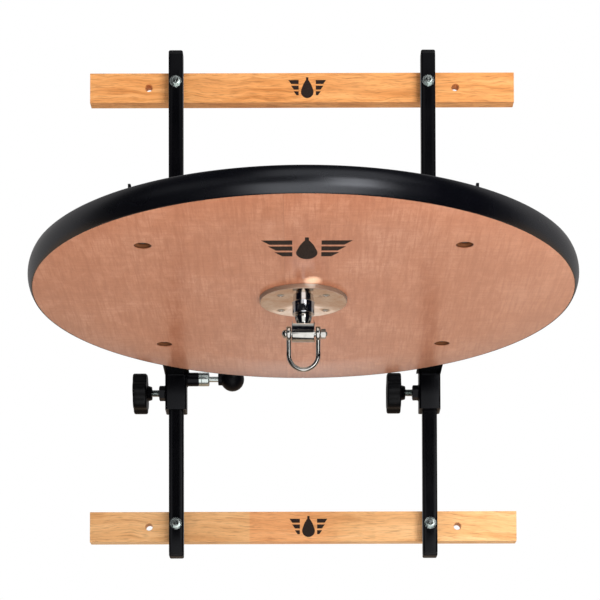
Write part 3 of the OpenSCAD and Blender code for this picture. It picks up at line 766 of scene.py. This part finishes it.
def make_frame_fasteners():
    """Bolts through the boards and uprights, each turned its own way, with washers and nuts in front."""
    washer_t = span("frame_washers").y
    nut_t = span("frame_nuts").y
    front = span("top_board").y + TUBE_W
    end = -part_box("frame_bolts")[0].y
    bolts, washers, nuts = [], [], []
    for i, centre in enumerate(SIDES.values()):
        for j, board in enumerate(("top_board", "bottom_board")):
            at = aim((centre.x, 0, middle(board).z), (0, -1, 0))
            spin = at @ turned(radians(11 + 37 * (2 * i + j)))
            bolts.append(carriage_bolt(FRAME_BOLT_R, MM, 7 * MM, 3.2 * MM, FRAME_RECESS, front, end,
                                       at, spin))
            washers.append(washer_mesh(FRAME_WASHER_R, FRAME_HOLE_R, washer_t, at @ moved(0, 0, front)))
            nuts.append(nut_mesh(10 * MM, nut_t, FRAME_BOLT_R, spin @ moved(0, 0, front + washer_t)))
    stand_in("frame_bolts", joined(*bolts), ZINC)
    stand_in("frame_washers", joined(*washers), ZINC)
    stand_in("frame_nuts", joined(*nuts), ZINC)


for which in ("top", "bottom"):
    make_board(which)
for side in SIDES:
    make_upright(side)
    make_cap(side + "_top_cap", True)
    make_cap(side + "_bottom_cap", False)
make_frame_fasteners()


# --- Carriage ---

SLEEVE_W = span("left_sleeve").x
ARM_T = span("left_brace").x


def make_sleeve(side):
    """Tube that slides on an upright, with holes for the clamp screw and, on the left, the pull pin."""
    centre = SIDES[side]
    tools = [rod(5.1 * MM, 0, SLEEVE_W, aim((centre.x, centre.y, CLAMP_Z), (-1, 0, 0)))]
    if side == "left":
        tools.append(rod(4 * MM, 0, SLEEVE_W, aim((centre.x, centre.y, PIN_Z), (1, 0, 0))))
    square_tube(side + "_sleeve", SLEEVE_W, SLEEVE_W - 4 * MM, 3 * MM, 1 * MM, tools)


def make_arm(side):
    """Rolled angle with rounded toes and a root fillet."""
    node = side + "_arm"
    low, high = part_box(node)
    sign = 1 if side == "right" else -1
    leg = high.z - low.z
    t, root, toe = ARM_T, 2.5 * MM, 1.4 * MM
    outline = [(0, 0), (0, leg)] + arc(-t + toe, leg - toe, toe, 90, 180, 4)
    outline += arc(-t - root, t + root, root, 0, -90, 5)
    outline += arc(-leg + toe, t - toe, toe, 90, 180, 4) + [(-leg, 0)]
    place = Matrix(((sign, 0, 0, high.x if sign > 0 else low.x), (0, 0, 1, 0), (0, 1, 0, low.z),
                    (0, 0, 0, 1)))
    mesh = soften(prism(outline, low.y, high.y, place), 0.35 * MM, 2, 60)
    tools = [rod(DISC_HOLE_R, low.z - THROUGH, low.z + THROUGH, moved(SIDES[side].x, y, 0))
             for y in DISC_BOLT_Y]
    stand_in(node, combine(mesh, tools), POWDER)


def make_brace(side):
    """Flat bar with eased edges: the CAD node's own outline, rounded."""
    node = side + "_brace"
    mesh = bmesh.new()
    mesh.from_mesh(frame["nodes"][node].data)
    bmesh.ops.remove_doubles(mesh, verts=mesh.verts, dist=1e-6)
    bmesh.ops.dissolve_limit(mesh, angle_limit=radians(1), verts=mesh.verts, edges=mesh.edges)
    stand_in(node, soften(mesh, 0.5 * MM, 2, 20), POWDER)


def bead(name, points, r, lumps=1.0):
    """Weld bead on the carriage: a low rippled bar along straight runs between points."""
    path = finer(points, 0.9 * MM, 2)
    length = sum((b - a).length for a, b in zip(path, path[1:]))

    def radius(share):
        ripple = 1 + 0.10 * lumps * sin(tau * share * length / (3.1 * MM))
        end = min(1.0, share * length / (2 * MM), (1 - share) * length / (2 * MM))
        return r * ripple * (0.35 + 0.65 * sqrt(max(end, 0.0)))

    piece(name, sweep(path, radius, 10), POWDER, "carriage", 50)


def ring_points(centre, axis, r, count=30):
    """Closed ring of points around an axis, for a bead around a nut or a tube."""
    place = aim(centre, axis)
    return [place @ Vector((r * cos(tau * i / count), r * sin(tau * i / count), 0))
            for i in range(count + 1)]


def make_welds(side):
    """Beads where the arm, the brace and the clamp nut meet the sleeve, and the brace meets the arm."""
    sign = 1 if side == "right" else -1
    centre = SIDES[side]
    arm_low, arm_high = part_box(side + "_arm")
    brace_low, brace_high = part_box(side + "_brace")
    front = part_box(side + "_sleeve")[0].y
    outer = centre.x + sign * (SLEEVE_W / 2 - 2 * MM)
    inner = centre.x - sign * (SLEEVE_W / 2 - 2 * MM)
    leg_x = centre.x + sign * (SLEEVE_W / 2 - ARM_T)
    r = 1.5 * MM

    def run(name, start, end, radius=r):
        bead(side + name, [Vector(start), Vector(end)], radius)

    under, over = arm_low.z - 0.2 * MM, arm_low.z + ARM_T
    head, foot = brace_high.z, brace_low.y
    run("_arm_under_weld", (inner, front, under), (outer, front, under))
    run("_arm_top_weld", (inner, front, over), (leg_x, front, over))
    run("_arm_side_weld", (leg_x, front, over + 2 * MM), (leg_x, front, arm_high.z - MM))
    run("_brace_head_weld", (leg_x, front, head - 26 * MM), (leg_x, front, head - 2 * MM))
    run("_brace_foot_weld", (leg_x, foot + 4 * MM, arm_high.z), (leg_x, foot + 58 * MM, arm_high.z), 1.3 * MM)
    nut_at = Vector((centre.x - SLEEVE_W / 2 - 0.1 * MM, centre.y, CLAMP_Z))
    bead(side + "_nut_weld", ring_points(nut_at, (-1, 0, 0), 9.4 * MM), 1.2 * MM, lumps=1.4)


def make_clamp_nut(side):
    """Hex nut that is welded to the sleeve around the clamp screw."""
    node = side + "_clamp_nut"
    low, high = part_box(node)
    at = aim((high.x, SIDES[side].y, CLAMP_Z), (-1, 0, 0)) @ turned(radians(8))
    stand_in(node, nut_mesh(17 * MM, high.x - low.x, 4.65 * MM, at), POWDER)


def make_disc():
    """Plywood disc with eased rims, a groove for the bumper, bolt recesses and screw holes."""
    thick = disc_high.z - disc_low.z
    ease, groove_h, groove_d = 0.8 * MM, 3 * MM, 10 * MM
    half = thick / 2
    rim = arc(WOOD_R - ease, ease, ease, -90, 0, 3)
    top_rim = arc(WOOD_R - ease, thick - ease, ease, 0, 90, 3)
    rings = [0.25, 0.5, 0.75]
    profile = [(0, 0)] + [(WOOD_R * k, 0) for k in rings] + rim
    profile += [(WOOD_R, half - groove_h / 2), (WOOD_R - groove_d, half - groove_h / 2),
                (WOOD_R - groove_d, half + groove_h / 2), (WOOD_R, half + groove_h / 2)]
    profile += top_rim + [(WOOD_R * k, thick) for k in reversed(rings)] + [(0, thick)]
    mesh = lathe(profile, 256, moved(DISC_MID.x, DISC_MID.y, DISC_UNDER))
    tools = []
    for centre in SIDES.values():
        for y in DISC_BOLT_Y:
            at = moved(centre.x, y, DISC_UNDER)
            tools.append(rod(DISC_HOLE_R, -THROUGH, ACROSS, at))
            tools.append(rod(DISC_RECESS_R, -THROUGH, DISC_RECESS, at))
    tools += [rod(PLATE_SCREW_HOLE_R, -THROUGH, 14 * MM, moved(x, y, DISC_UNDER)) for x, y in PLATE_SCREWS]
    stand_in("disc_board", combine(mesh, tools), DISC_WOOD, 30).visible_glossy = False


def make_bumper():
    """Rubber band with a bowed face and a thin butt joint at the back, where its ends meet."""
    low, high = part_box("bumper")
    outer = (high.y - low.y) / 2
    half = (high.z - low.z) / 2
    lip = 0.8 * MM
    bow = outer - WOOD_R - lip
    bow_r = (half * half + bow * bow) / (2 * bow)
    reach = degrees(asin(half / bow_r))
    tongue, tongue_r = 1.45 * MM, WOOD_R - 9.7 * MM
    profile = [(WOOD_R, 0.1 * MM), (WOOD_R + 0.3 * MM, 0), (WOOD_R + 0.6 * MM, 0.1 * MM)]
    profile += arc(outer - bow_r, half, bow_r, 1.5 - reach, reach - 1.5, 22)
    profile += [(WOOD_R + 0.6 * MM, 2 * half - 0.1 * MM), (WOOD_R + 0.3 * MM, 2 * half),
                (WOOD_R, 2 * half - 0.1 * MM), (WOOD_R, half + tongue), (tongue_r, half + tongue),
                (tongue_r, half - tongue), (WOOD_R, half - tongue)]

    def warp(r, z, a):
        if r <= WOOD_R:
            return r, z
        off = abs(a - pi / 2) * outer
        groove = 0.7 * MM * max(0.0, 1 - off / (1.6 * MM))
        return r - groove, z

    mesh = lathe(profile, 720, moved(DISC_MID.x, DISC_MID.y, low.z), warp)
    stand_in("bumper", mesh, RUBBER, 50)


def make_disc_fasteners():
    """Bolts up through the disc and the arms, each turned its own way, with washers and nuts on top."""
    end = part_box("disc_bolts")[1].z
    washer_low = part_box("disc_washers")[0].z
    washer_t = span("disc_washers").z
    nut_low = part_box("disc_nuts")[0].z
    seat = DISC_UNDER + DISC_RECESS
    bolts, washers, nuts = [], [], []
    for i, centre in enumerate(SIDES.values()):
        for j, y in enumerate(DISC_BOLT_Y):
            at = moved(centre.x, y, 0)
            spin = at @ turned(radians(19 + 41 * (2 * i + j)))
            bolts.append(carriage_bolt(DISC_BOLT_R, 1.25 * MM, 7.5 * MM, 4 * MM, seat, washer_low, end,
                                       at, spin))
            washers.append(washer_mesh(DISC_WASHER_R, DISC_HOLE_R, washer_t, moved(centre.x, y, washer_low)))
            nuts.append(nut_mesh(13 * MM, span("disc_nuts").z, DISC_BOLT_R, spin @ moved(0, 0, nut_low)))
    stand_in("disc_bolts", joined(*bolts), BLACK_OXIDE)
    stand_in("disc_washers", joined(*washers), BLACK_OXIDE)
    stand_in("disc_nuts", joined(*nuts), BLACK_OXIDE)


def make_swivel_plate():
    """Turned plate with a rolled rim and the bearing housing under it."""
    low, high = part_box("swivel_plate")
    r = (high.x - low.x) / 2
    drop, rim, fillet, round_r = high.z - low.z, 1.2 * MM, 0.8 * MM, 1 * MM
    race_r, stem_bore_r, floor_t = 10.2 * MM, 6.05 * MM, 3 * MM
    profile = [(race_r, 0), (r - 0.3 * MM, 0), (r, -0.3 * MM)]
    profile += arc(r - rim, -PLATE_T + rim, rim, 0, -90, 5)
    profile += arc(HOUSING_R + fillet, -PLATE_T - fillet, fillet, 90, 180, 4)
    profile += arc(HOUSING_R - round_r, -drop + round_r, round_r, 0, -90, 4)
    profile += [(stem_bore_r, -drop), (stem_bore_r, -drop + floor_t), (race_r, -drop + floor_t)]
    mesh = lathe(profile, 160, moved(DISC_MID.x, DISC_MID.y, high.z))
    tools = []
    sink_low, sink_high = -PLATE_T - 0.4 * MM, -PLATE_T + 2.6 * MM
    sink = [(0, sink_low), (4.9 * MM, sink_low), (PLATE_SCREW_HOLE_R, sink_high), (0, sink_high)]
    for x, y in PLATE_SCREWS:
        at = moved(x, y, high.z)
        tools += [rod(PLATE_SCREW_HOLE_R, -THROUGH, MM, at), lathe(sink, 40, at)]
    stand_in("swivel_plate", combine(mesh, tools), PLATE_CHROME, 30)


def make_swivel_screws():
    """Countersunk screws with a tapered cross recess, each turned its own way."""
    low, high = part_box("swivel_screws")
    screws = []
    for i, (x, y) in enumerate(PLATE_SCREWS):
        at = moved(x, y, low.z) @ turned(radians(17 + 29 * i))
        body = lathe([(0, 0.05 * MM), (3.9 * MM, 0.05 * MM), (4.4 * MM, 0.3 * MM), (2.2 * MM, 2.5 * MM),
                      (2.2 * MM, 15 * MM), (0, high.z - low.z)], 48)
        bar = [(-2.6 * MM, -0.55 * MM), (2.6 * MM, -0.55 * MM), (2.6 * MM, 0.55 * MM), (-2.6 * MM, 0.55 * MM)]
        taper = [[(x * share, y, z) for x, y in bar] for share, z in ((1, -1 * MM), (0.45, 1.7 * MM))]
        cross = [loft(taper, turned(radians(turn))) for turn in (0, 90)]
        screw = combine(body, cross)
        screw.transform(at)
        screws.append(screw)
    stand_in("swivel_screws", joined(*screws), CHROME)


def make_pin_body():
    """Housing welded to the sleeve, then the plated barrel with a groove and a rolled nose."""
    low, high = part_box("pin_housing")
    at = aim((0, SIDES["left"].y, PIN_Z), (1, 0, 0))
    r = (high.z - low.z) / 2
    e = 0.6 * MM
    bore_r, shank_r, chamber_r = 7.5 * MM, 7.45 * MM, 6.3 * MM
    floor = low.x + 4 * MM
    profile = [(PIN_BORE_R, low.x), (r - e, low.x), (r, low.x + e), (r, high.x - e), (r - e, high.x),
               (bore_r, high.x), (bore_r, floor), (PIN_BORE_R, floor)]
    stand_in("pin_housing", lathe(profile, 64, at), POWDER)
    foot = Vector((low.x, SIDES["left"].y, PIN_Z))
    bead("pin_housing_weld", ring_points(foot, (1, 0, 0), r), 1.2 * MM, lumps=1.4)
    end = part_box("pin_barrel")[1].x
    shank = low.x + 8 * MM
    groove, groove_w, groove_d = high.x + 4 * MM, 0.4 * MM, 0.5 * MM
    nose, wall = 1.4 * MM, 3 * MM
    profile = [(chamber_r, shank), (shank_r, shank), (shank_r, high.x), (r - e, high.x), (r, high.x + e),
               (r, groove - groove_w), (r - groove_d, groove), (r, groove + groove_w)]
    profile += arc(r - nose, end - nose, nose, 0, 90, 4)
    profile += [(PIN_BORE_R, end), (PIN_BORE_R, end - wall), (chamber_r, end - wall)]
    stand_in("pin_barrel", lathe(profile, 64, at), ZINC)


for side in SIDES:
    make_sleeve(side)
    make_arm(side)
    make_brace(side)
    make_welds(side)
    make_clamp_nut(side)
make_disc()
make_bumper()
make_disc_fasteners()
make_swivel_plate()
make_swivel_screws()
make_pin_body()
for node in ("left_upper_liner", "left_lower_liner", "right_upper_liner", "right_lower_liner"):
    coat(node, LINER_NYLON)


# --- Pull pin ---

def make_pull_pin():
    """Ball knob with a neck, and the plated rod with the collar that the spring pushes on."""
    at = aim((0, SIDES["left"].y, PIN_Z), (1, 0, 0))
    low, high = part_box("ball_knob")
    r = (high.z - low.z) / 2
    ball_x = high.x - r
    neck_r, e = 7.75 * MM, 0.8 * MM
    socket = low.x + 6 * MM
    meet = degrees(asin((neck_r + 0.7 * MM) / r))
    meet_x = ball_x - r * cos(radians(meet))
    profile = [(0, socket), (PIN_R, socket), (PIN_R, low.x), (neck_r - e, low.x), (neck_r, low.x + e),
               (neck_r, meet_x - e)]
    profile += arc(0, ball_x, r, meet - 90, 90, 30)[:-1] + [(0, high.x)]
    stand_in("ball_knob", lathe(profile, 96, at), KNOB_PLASTIC, 40)
    low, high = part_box("pin_rod")
    nose, collar_t = 1 * MM, 2.5 * MM
    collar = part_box("pin_spring")[0].x - 2.6 * MM
    collar_r = (high.z - low.z) / 2
    profile = [(0, low.x), (PIN_R - nose, low.x), (PIN_R, low.x + nose), (PIN_R, collar), (collar_r, collar),
               (collar_r, collar + collar_t), (PIN_R, collar + collar_t), (PIN_R, high.x), (0, high.x)]
    stand_in("pin_rod", lathe(profile, 48, at), ZINC)


def make_pin_spring():
    """Coil spring between the pin's collar and the barrel, built at one length; the real one shortens as the pin
    is drawn out.
    """
    low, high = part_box("pin_spring")
    wire_r, turns = 0.45 * MM, 5
    coil_r = (high.z - low.z) / 2 - wire_r
    centre = middle("pin_spring")
    start, end = low.x + wire_r, high.x - wire_r
    steps = turns * 32
    path = [Vector((start + (end - start) * i / steps, centre.y + coil_r * cos(tau * turns * i / steps),
                    centre.z + coil_r * sin(tau * turns * i / steps))) for i in range(steps + 1)]
    data = mesh_data("pin_spring_look", sweep(path, wire_r, 10), ZINC)
    data.shade_smooth()
    spring = show("pin_spring_look", data)
    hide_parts("pin_spring")
    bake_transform(spring)


make_pull_pin()
make_pin_spring()


# --- Clamp knobs ---

def make_clamp(side):
    """Seven-lobed knob with a dished outer face and a tapered hub, on a threaded screw."""
    low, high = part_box(side + "_clamp_knob")
    centre = SIDES[side]
    at = aim((0, centre.y, CLAMP_Z), (-1, 0, 0))
    hub_z, end_z = -high.x, -low.x
    knob_z = hub_z + 6 * MM
    r = (high.y - low.y) / 2
    lobes, depth = 7, 3.0 * MM
    thick = end_z - knob_z

    def warp(radius, z, a):
        if radius < 13 * MM:
            return radius, z
        share = min(1.0, (radius - 13 * MM) / (r - 13 * MM))
        wave = 0.5 - 0.5 * cos(lobes * a)
        return radius - depth * share * wave ** 1.6, z

    edge = 2.4 * MM
    socket_z = hub_z + 12 * MM
    profile = [(0, socket_z), (CLAMP_BOLT_R, socket_z), (CLAMP_BOLT_R, hub_z), (8.0 * MM, hub_z),
               (8.6 * MM, hub_z + 0.6 * MM), (9.9 * MM, knob_z - 0.8 * MM), (11.0 * MM, knob_z + 0.1 * MM),
               (16 * MM, knob_z + 0.3 * MM), (r - edge - 2 * MM, knob_z + 0.2 * MM)]
    profile += arc(r - edge, knob_z + edge, edge, -90, 0, 4)
    profile += [(r, knob_z + thick * k) for k in (0.35, 0.5, 0.65)]
    profile += arc(r - edge, end_z - edge, edge, 0, 90, 4)
    profile += [(16.5 * MM, end_z), (14.6 * MM, end_z - 0.5 * MM), (13.2 * MM, end_z - 1.3 * MM),
                (9 * MM, end_z - 1.6 * MM), (0, end_z - 1.4 * MM)]
    stand_in(side + "_clamp_knob", lathe(profile, 168, at, warp), KNOB_PLASTIC, 40)
    low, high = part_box(side + "_clamp_screw")
    thread = thread_mesh(CLAMP_BOLT_R, 1.5 * MM, -high.x, -low.x, at, 0.42, 32)
    stand_in(side + "_clamp_screw", thread, ZINC)
    coat(side + "_pressure_pad", BRASS)


for side in SIDES:
    make_clamp(side)


# --- Swivel and hook ---

def make_swivel_block():
    """Cross barrel with a flat top, and the rounded collar that it hangs from."""
    low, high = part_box("swivel_block")
    half_w = (high.x - low.x) / 2
    r = PIVOT_Z - low.z
    flat = DISC_UNDER - 30.5 * MM - PIVOT_Z
    e = 1.2 * MM
    outline = arc(0, 0, r, 180, 360, 24) + arc(r - e, flat - e, e, 0, 90, 4)
    outline += arc(-r + e, flat - e, e, 90, 180, 4)
    at = moved(DISC_MID.x, DISC_MID.y, PIVOT_Z) @ Matrix(
        ((0, 0, 1, 0), (1, 0, 0, 0), (0, 1, 0, 0), (0, 0, 0, 1)))
    block = soften(prism(outline, -half_w, half_w, at), 0.9 * MM, 3, 60)
    top = high.z
    neck_low = PIVOT_Z + flat - 1 * MM
    collar = [(0, top), (8.2 * MM, top)] + arc(8.2 * MM, top - e, e, 60, 0, 2)
    collar += [(9.3 * MM, top - 3 * MM), (8.9 * MM, top - 5 * MM), (8.2 * MM, top - 7 * MM),
               (7.5 * MM, top - 9 * MM), (7.3 * MM, top - 10 * MM), (7.3 * MM, neck_low), (0, neck_low)]
    collar = lathe(collar, 72, moved(DISC_MID.x, DISC_MID.y, 0))
    whole = combine(block, [collar], "UNION")
    bore = rod(CROSS_BOLT_R, -ACROSS, ACROSS, aim((0, DISC_MID.y, PIVOT_Z), (1, 0, 0)))
    stand_in("swivel_block", combine(whole, [bore]), CHROME, 30)


def make_cross_bolt():
    """Round-headed bolt through the hook's eyes and the barrel, and its nut."""
    low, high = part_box("cross_bolt")
    nut_low, nut_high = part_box("cross_nut")
    at = aim((0, DISC_MID.y, PIVOT_Z), (1, 0, 0))
    head_r, head_t = 4.8 * MM, 4.7 * MM
    shoulder = low.x + head_t
    ball = [(r, 2 * shoulder - z) for r, z in dome_profile(head_r, head_t * 0.75, shoulder + head_t * 0.25)]
    head = lathe([(0, shoulder), (head_r, shoulder)] + ball, 48, at)
    shank = [(0, shoulder), (CROSS_BOLT_R, shoulder), (CROSS_BOLT_R, nut_low.x), (0, nut_low.x)]
    thread = thread_mesh(CROSS_BOLT_R, MM, nut_low.x, high.x, at)
    stand_in("cross_bolt", joined(head, lathe(shank, 40, at), thread), CHROME)
    stand_in("cross_nut", nut_mesh(9.4 * MM, nut_high.x - nut_low.x, CROSS_BOLT_R,
                                   aim((nut_low.x, DISC_MID.y, PIVOT_Z), (1, 0, 0))), CHROME)


def make_hook():
    """Bent rod whose flattened ends are the eyes: straight legs that lean in, then a deep round bend."""
    low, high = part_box("bag_hook")
    rod_r = 2.5 * MM
    eye_r = high.z - PIVOT_Z
    eye_t = 5.5 * MM
    half = (high.x - low.x) / 2 - eye_t / 2
    bottom = low.z + rod_r
    leg_top = PIVOT_Z - 5 * MM
    bend_z = bottom + half
    path = [Vector((-half, DISC_MID.y, leg_top))]
    steps = 28
    for i in range(steps + 1):
        a = pi * i / steps
        path.append(Vector((-half * cos(a), DISC_MID.y, bend_z - half * sin(a))))
    path.append(Vector((half, DISC_MID.y, leg_top)))
    bar = sweep(finer(path, 1.5 * MM, 1), rod_r, 24)
    eyes = []
    for sign in (-1, 1):
        at = aim((sign * half, DISC_MID.y, PIVOT_Z), (1, 0, 0))
        e = 1.6 * MM
        profile = [(3.05 * MM, -eye_t / 2)]
        profile += arc(eye_r - e, -eye_t / 2 + e, e, -90, 0, 5) + arc(eye_r - e, eye_t / 2 - e, e, 0, 90, 5)
        profile += [(3.05 * MM, eye_t / 2)]
        eyes.append(lathe(profile, 56, at))
    stand_in("bag_hook", combine(bar, eyes, "UNION"), CHROME, 40)


make_swivel_block()
make_cross_bolt()
make_hook()
for node in ("swivel_spindle", "bearing_balls"):
    coat(node, CHROME)
coat("ball_cage", ZINC)


# --- Print ---

def emblem(width, height, slim):
    """Generic mark: a hanging pear-shaped bag between three slanted bars on each side, top towards +Y.
    slim narrows the bag."""
    bag_r = height * 0.30
    low_y = -height / 2 + bag_r
    neck = height * 0.055
    bag = arc(0, low_y, bag_r, 180 - 18, 360 + 18, 22)
    side = [(bag_r * 0.62, height * 0.16), (neck * 1.6, height * 0.33), (neck, height * 0.36),
            (neck, height / 2)]
    bag += side + [(-x, y) for x, y in reversed(side)]
    shapes = [[(x * slim, y) for x, y in bag]]
    start = bag_r * slim * 1.35
    bar_h = height * 0.19
    for row in (-1, 0, 1):
        y = -row * height * 0.27
        end = width / 2 - (row + 1) * width * 0.07
        for sign in (-1, 1):
            shapes.append([(sign * start, y - bar_h / 2), (sign * (end - bar_h * 0.7), y - bar_h / 2),
                           (sign * end, y + bar_h / 2), (sign * start, y + bar_h / 2)])
    return shapes


def print_mark(name, width, height, place, body, slim=1.0):
    mesh = joined(*[prism(shape, 0, 0.1 * MM, place) for shape in emblem(width, height, slim)])
    return piece(name, mesh, INK, body)


print_mark("disc_print", 94 * MM, 62 * MM,
           moved(3.4 * MM, DISC_MID.y - 154 * MM, DISC_UNDER) @ turned(pi, "X"), "carriage", 0.6)
for which in ("top", "bottom"):
    node = which + "_board"
    print_mark(which + "_board_print", 50 * MM, 28 * MM,
               aim((7 * MM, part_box(node)[0].y, middle(node).z), (0, -1, 0)), "wall_frame")


# --- Studio ---

FLOOR_Z = -1.0
CAMERA_AT = (-0.0057, -2.5762, -0.8585)
CAMERA_TILT = 0.0294  # radians up from level
CAMERA_ROLL = 0.0027  # radians
VIEW_SHIFT = 0.9972


def make_floor():
    """Plain pale paper; the world stands in for it in reflections."""
    mesh = bmesh.new()
    bmesh.ops.create_grid(mesh, x_segments=8, y_segments=8, size=60)
    s = Shader("floor_paper")
    seen = s.add("LightPath").outputs["Is Camera Ray"]
    s.set(Base_Color=s.ramp(s.noise(s.place, 30.0, 3, 0.5), (0.3, 0.91), (0.7, 0.93)), Roughness=0.9,
          Emission_Color=(1.0, 1.0, 1.0), Emission_Strength=s.times(seen, 0.25))
    floor = show("floor", mesh_data("floor", mesh, s.material))
    floor.location = (0, 0, FLOOR_Z)
    floor.visible_glossy = False


def lamp(name, kind, power, at, target, **settings):
    """Light that shines from one place towards another but isn't mirrored in the object."""
    data = bpy.data.lights.new(name, kind)
    data.energy = power
    for key, value in settings.items():
        setattr(data, key, value)
    light = show(name, data)
    light.location = at
    light.rotation_mode = "QUATERNION"
    light.rotation_quaternion = (Vector(target) - Vector(at)).to_track_quat("-Z", "Y")
    light.visible_glossy = False


def make_lights():
    """Key softbox from the upper right, a weak one from below, and the soft patch of light that the
    chrome throws on the disc just in front of the swivel plate."""
    lamp("key", "AREA", 58, (1.3, -2.7, 1.1), (0, -0.2, 0), shape="RECTANGLE", size=1.2, size_y=1.2)
    lamp("low_fill", "AREA", 24, (0.6, -1.8, -0.9), (0, -0.3, 0), shape="RECTANGLE", size=1.4, size_y=0.8)
    patch = Vector((10 * MM, DISC_MID.y - 58 * MM, DISC_UNDER))
    lamp("glint", "SPOT", 30, patch + Vector((0.02, -0.20, -0.22)), patch, color=(0.35, 0.7, 1.0),
         spot_size=radians(4.5), spot_blend=1.0, shadow_soft_size=2 * MM)


def make_world():
    """Plain white to the camera and even light for matt surfaces. Shiny surfaces see a dim room in
    front of the object with a tall softbox to the right and a wide one below, and paper behind."""
    world = bpy.data.worlds.new("studio")
    world.use_nodes = True
    w = Nodes(world.node_tree)
    split = w.add("SeparateXYZ", [(0, w.add("TexCoord").outputs["Generated"])])
    x, y, z = (split.outputs[k] for k in "XYZ")
    azimuth = w.math("ARCTAN2", x, w.times(y, -1.0))

    def panel(start, end, side_soft, low, high, rise_soft):
        return w.times(w.window(azimuth, radians(start), radians(end), radians(side_soft)),
                       w.window(z, low, high, rise_soft))

    right = w.times(panel(12, 27, 3, -0.1, 0.37, 0.05), 3.0)
    under = w.times(panel(-14, 20, 14, -0.88, -0.06, 0.16), 1.35)
    left = w.times(panel(-60, -8, 6, 0.22, 0.5, 0.1), 0.12)
    high = w.times(panel(-10, 38, 14, 0.52, 0.82, 0.06), 0.55)
    front = w.math("ADD", w.math("ADD", right, under), w.math("ADD", left, high))
    front = w.mix(0.5, w.add("CombineXYZ", [(0, front), (1, front), (2, front)]).outputs[0],
                  (0.010, 0.011, 0.019), "ADD")
    far = w.times(w.fit(z, -0.312, -0.275), w.window(x, -0.02, 0.03, 0.035))
    paper = w.mix(far, (0.48, 0.36, 0.27), (0.92, 0.80, 0.70))
    behind = w.mix(w.fit(z, -0.2, 0.0), paper, (0.33, 0.32, 0.32))
    shiny = w.mix(w.fit(y, -0.05, 0.2), front, behind)
    seen = w.add("LightPath").outputs
    light = w.mix(seen["Is Glossy Ray"], (0.67, 0.67, 0.67), shiny)
    backdrop = w.tree.nodes["Background"]
    w.put(backdrop.inputs["Color"], w.mix(seen["Is Camera Ray"], light, (1.0, 1.0, 1.0)))
    bpy.context.scene.world = world


def make_camera():
    """Camera of a product shot from below the disc. The view is shifted up, as with a shift lens; the
    shift holds only at this place, so the camera is an ordinary one wherever else it is put."""
    data = bpy.data.cameras.new("camera")
    data.sensor_width = 36
    data.lens = 117.2
    data.clip_start, data.clip_end = 0.1, 60
    camera = show("camera", data)
    camera.location = CAMERA_AT
    camera.rotation_euler = (radians(90) + CAMERA_TILT, CAMERA_ROLL, 0)
    bpy.context.scene.camera = camera
    drive = data.driver_add("shift_y").driver
    drive.type = "SCRIPTED"
    height = drive.variables.new()
    height.name = "height"
    height.type = "TRANSFORMS"
    height.targets[0].id = camera
    height.targets[0].transform_type = "LOC_Z"
    drive.expression = f"{VIEW_SHIFT} if abs(height - ({CAMERA_AT[2]})) < 0.0005 else 0"


make_floor()
make_world()
make_camera()
make_lights()
bpy.context.scene.view_settings.view_transform = "Standard"
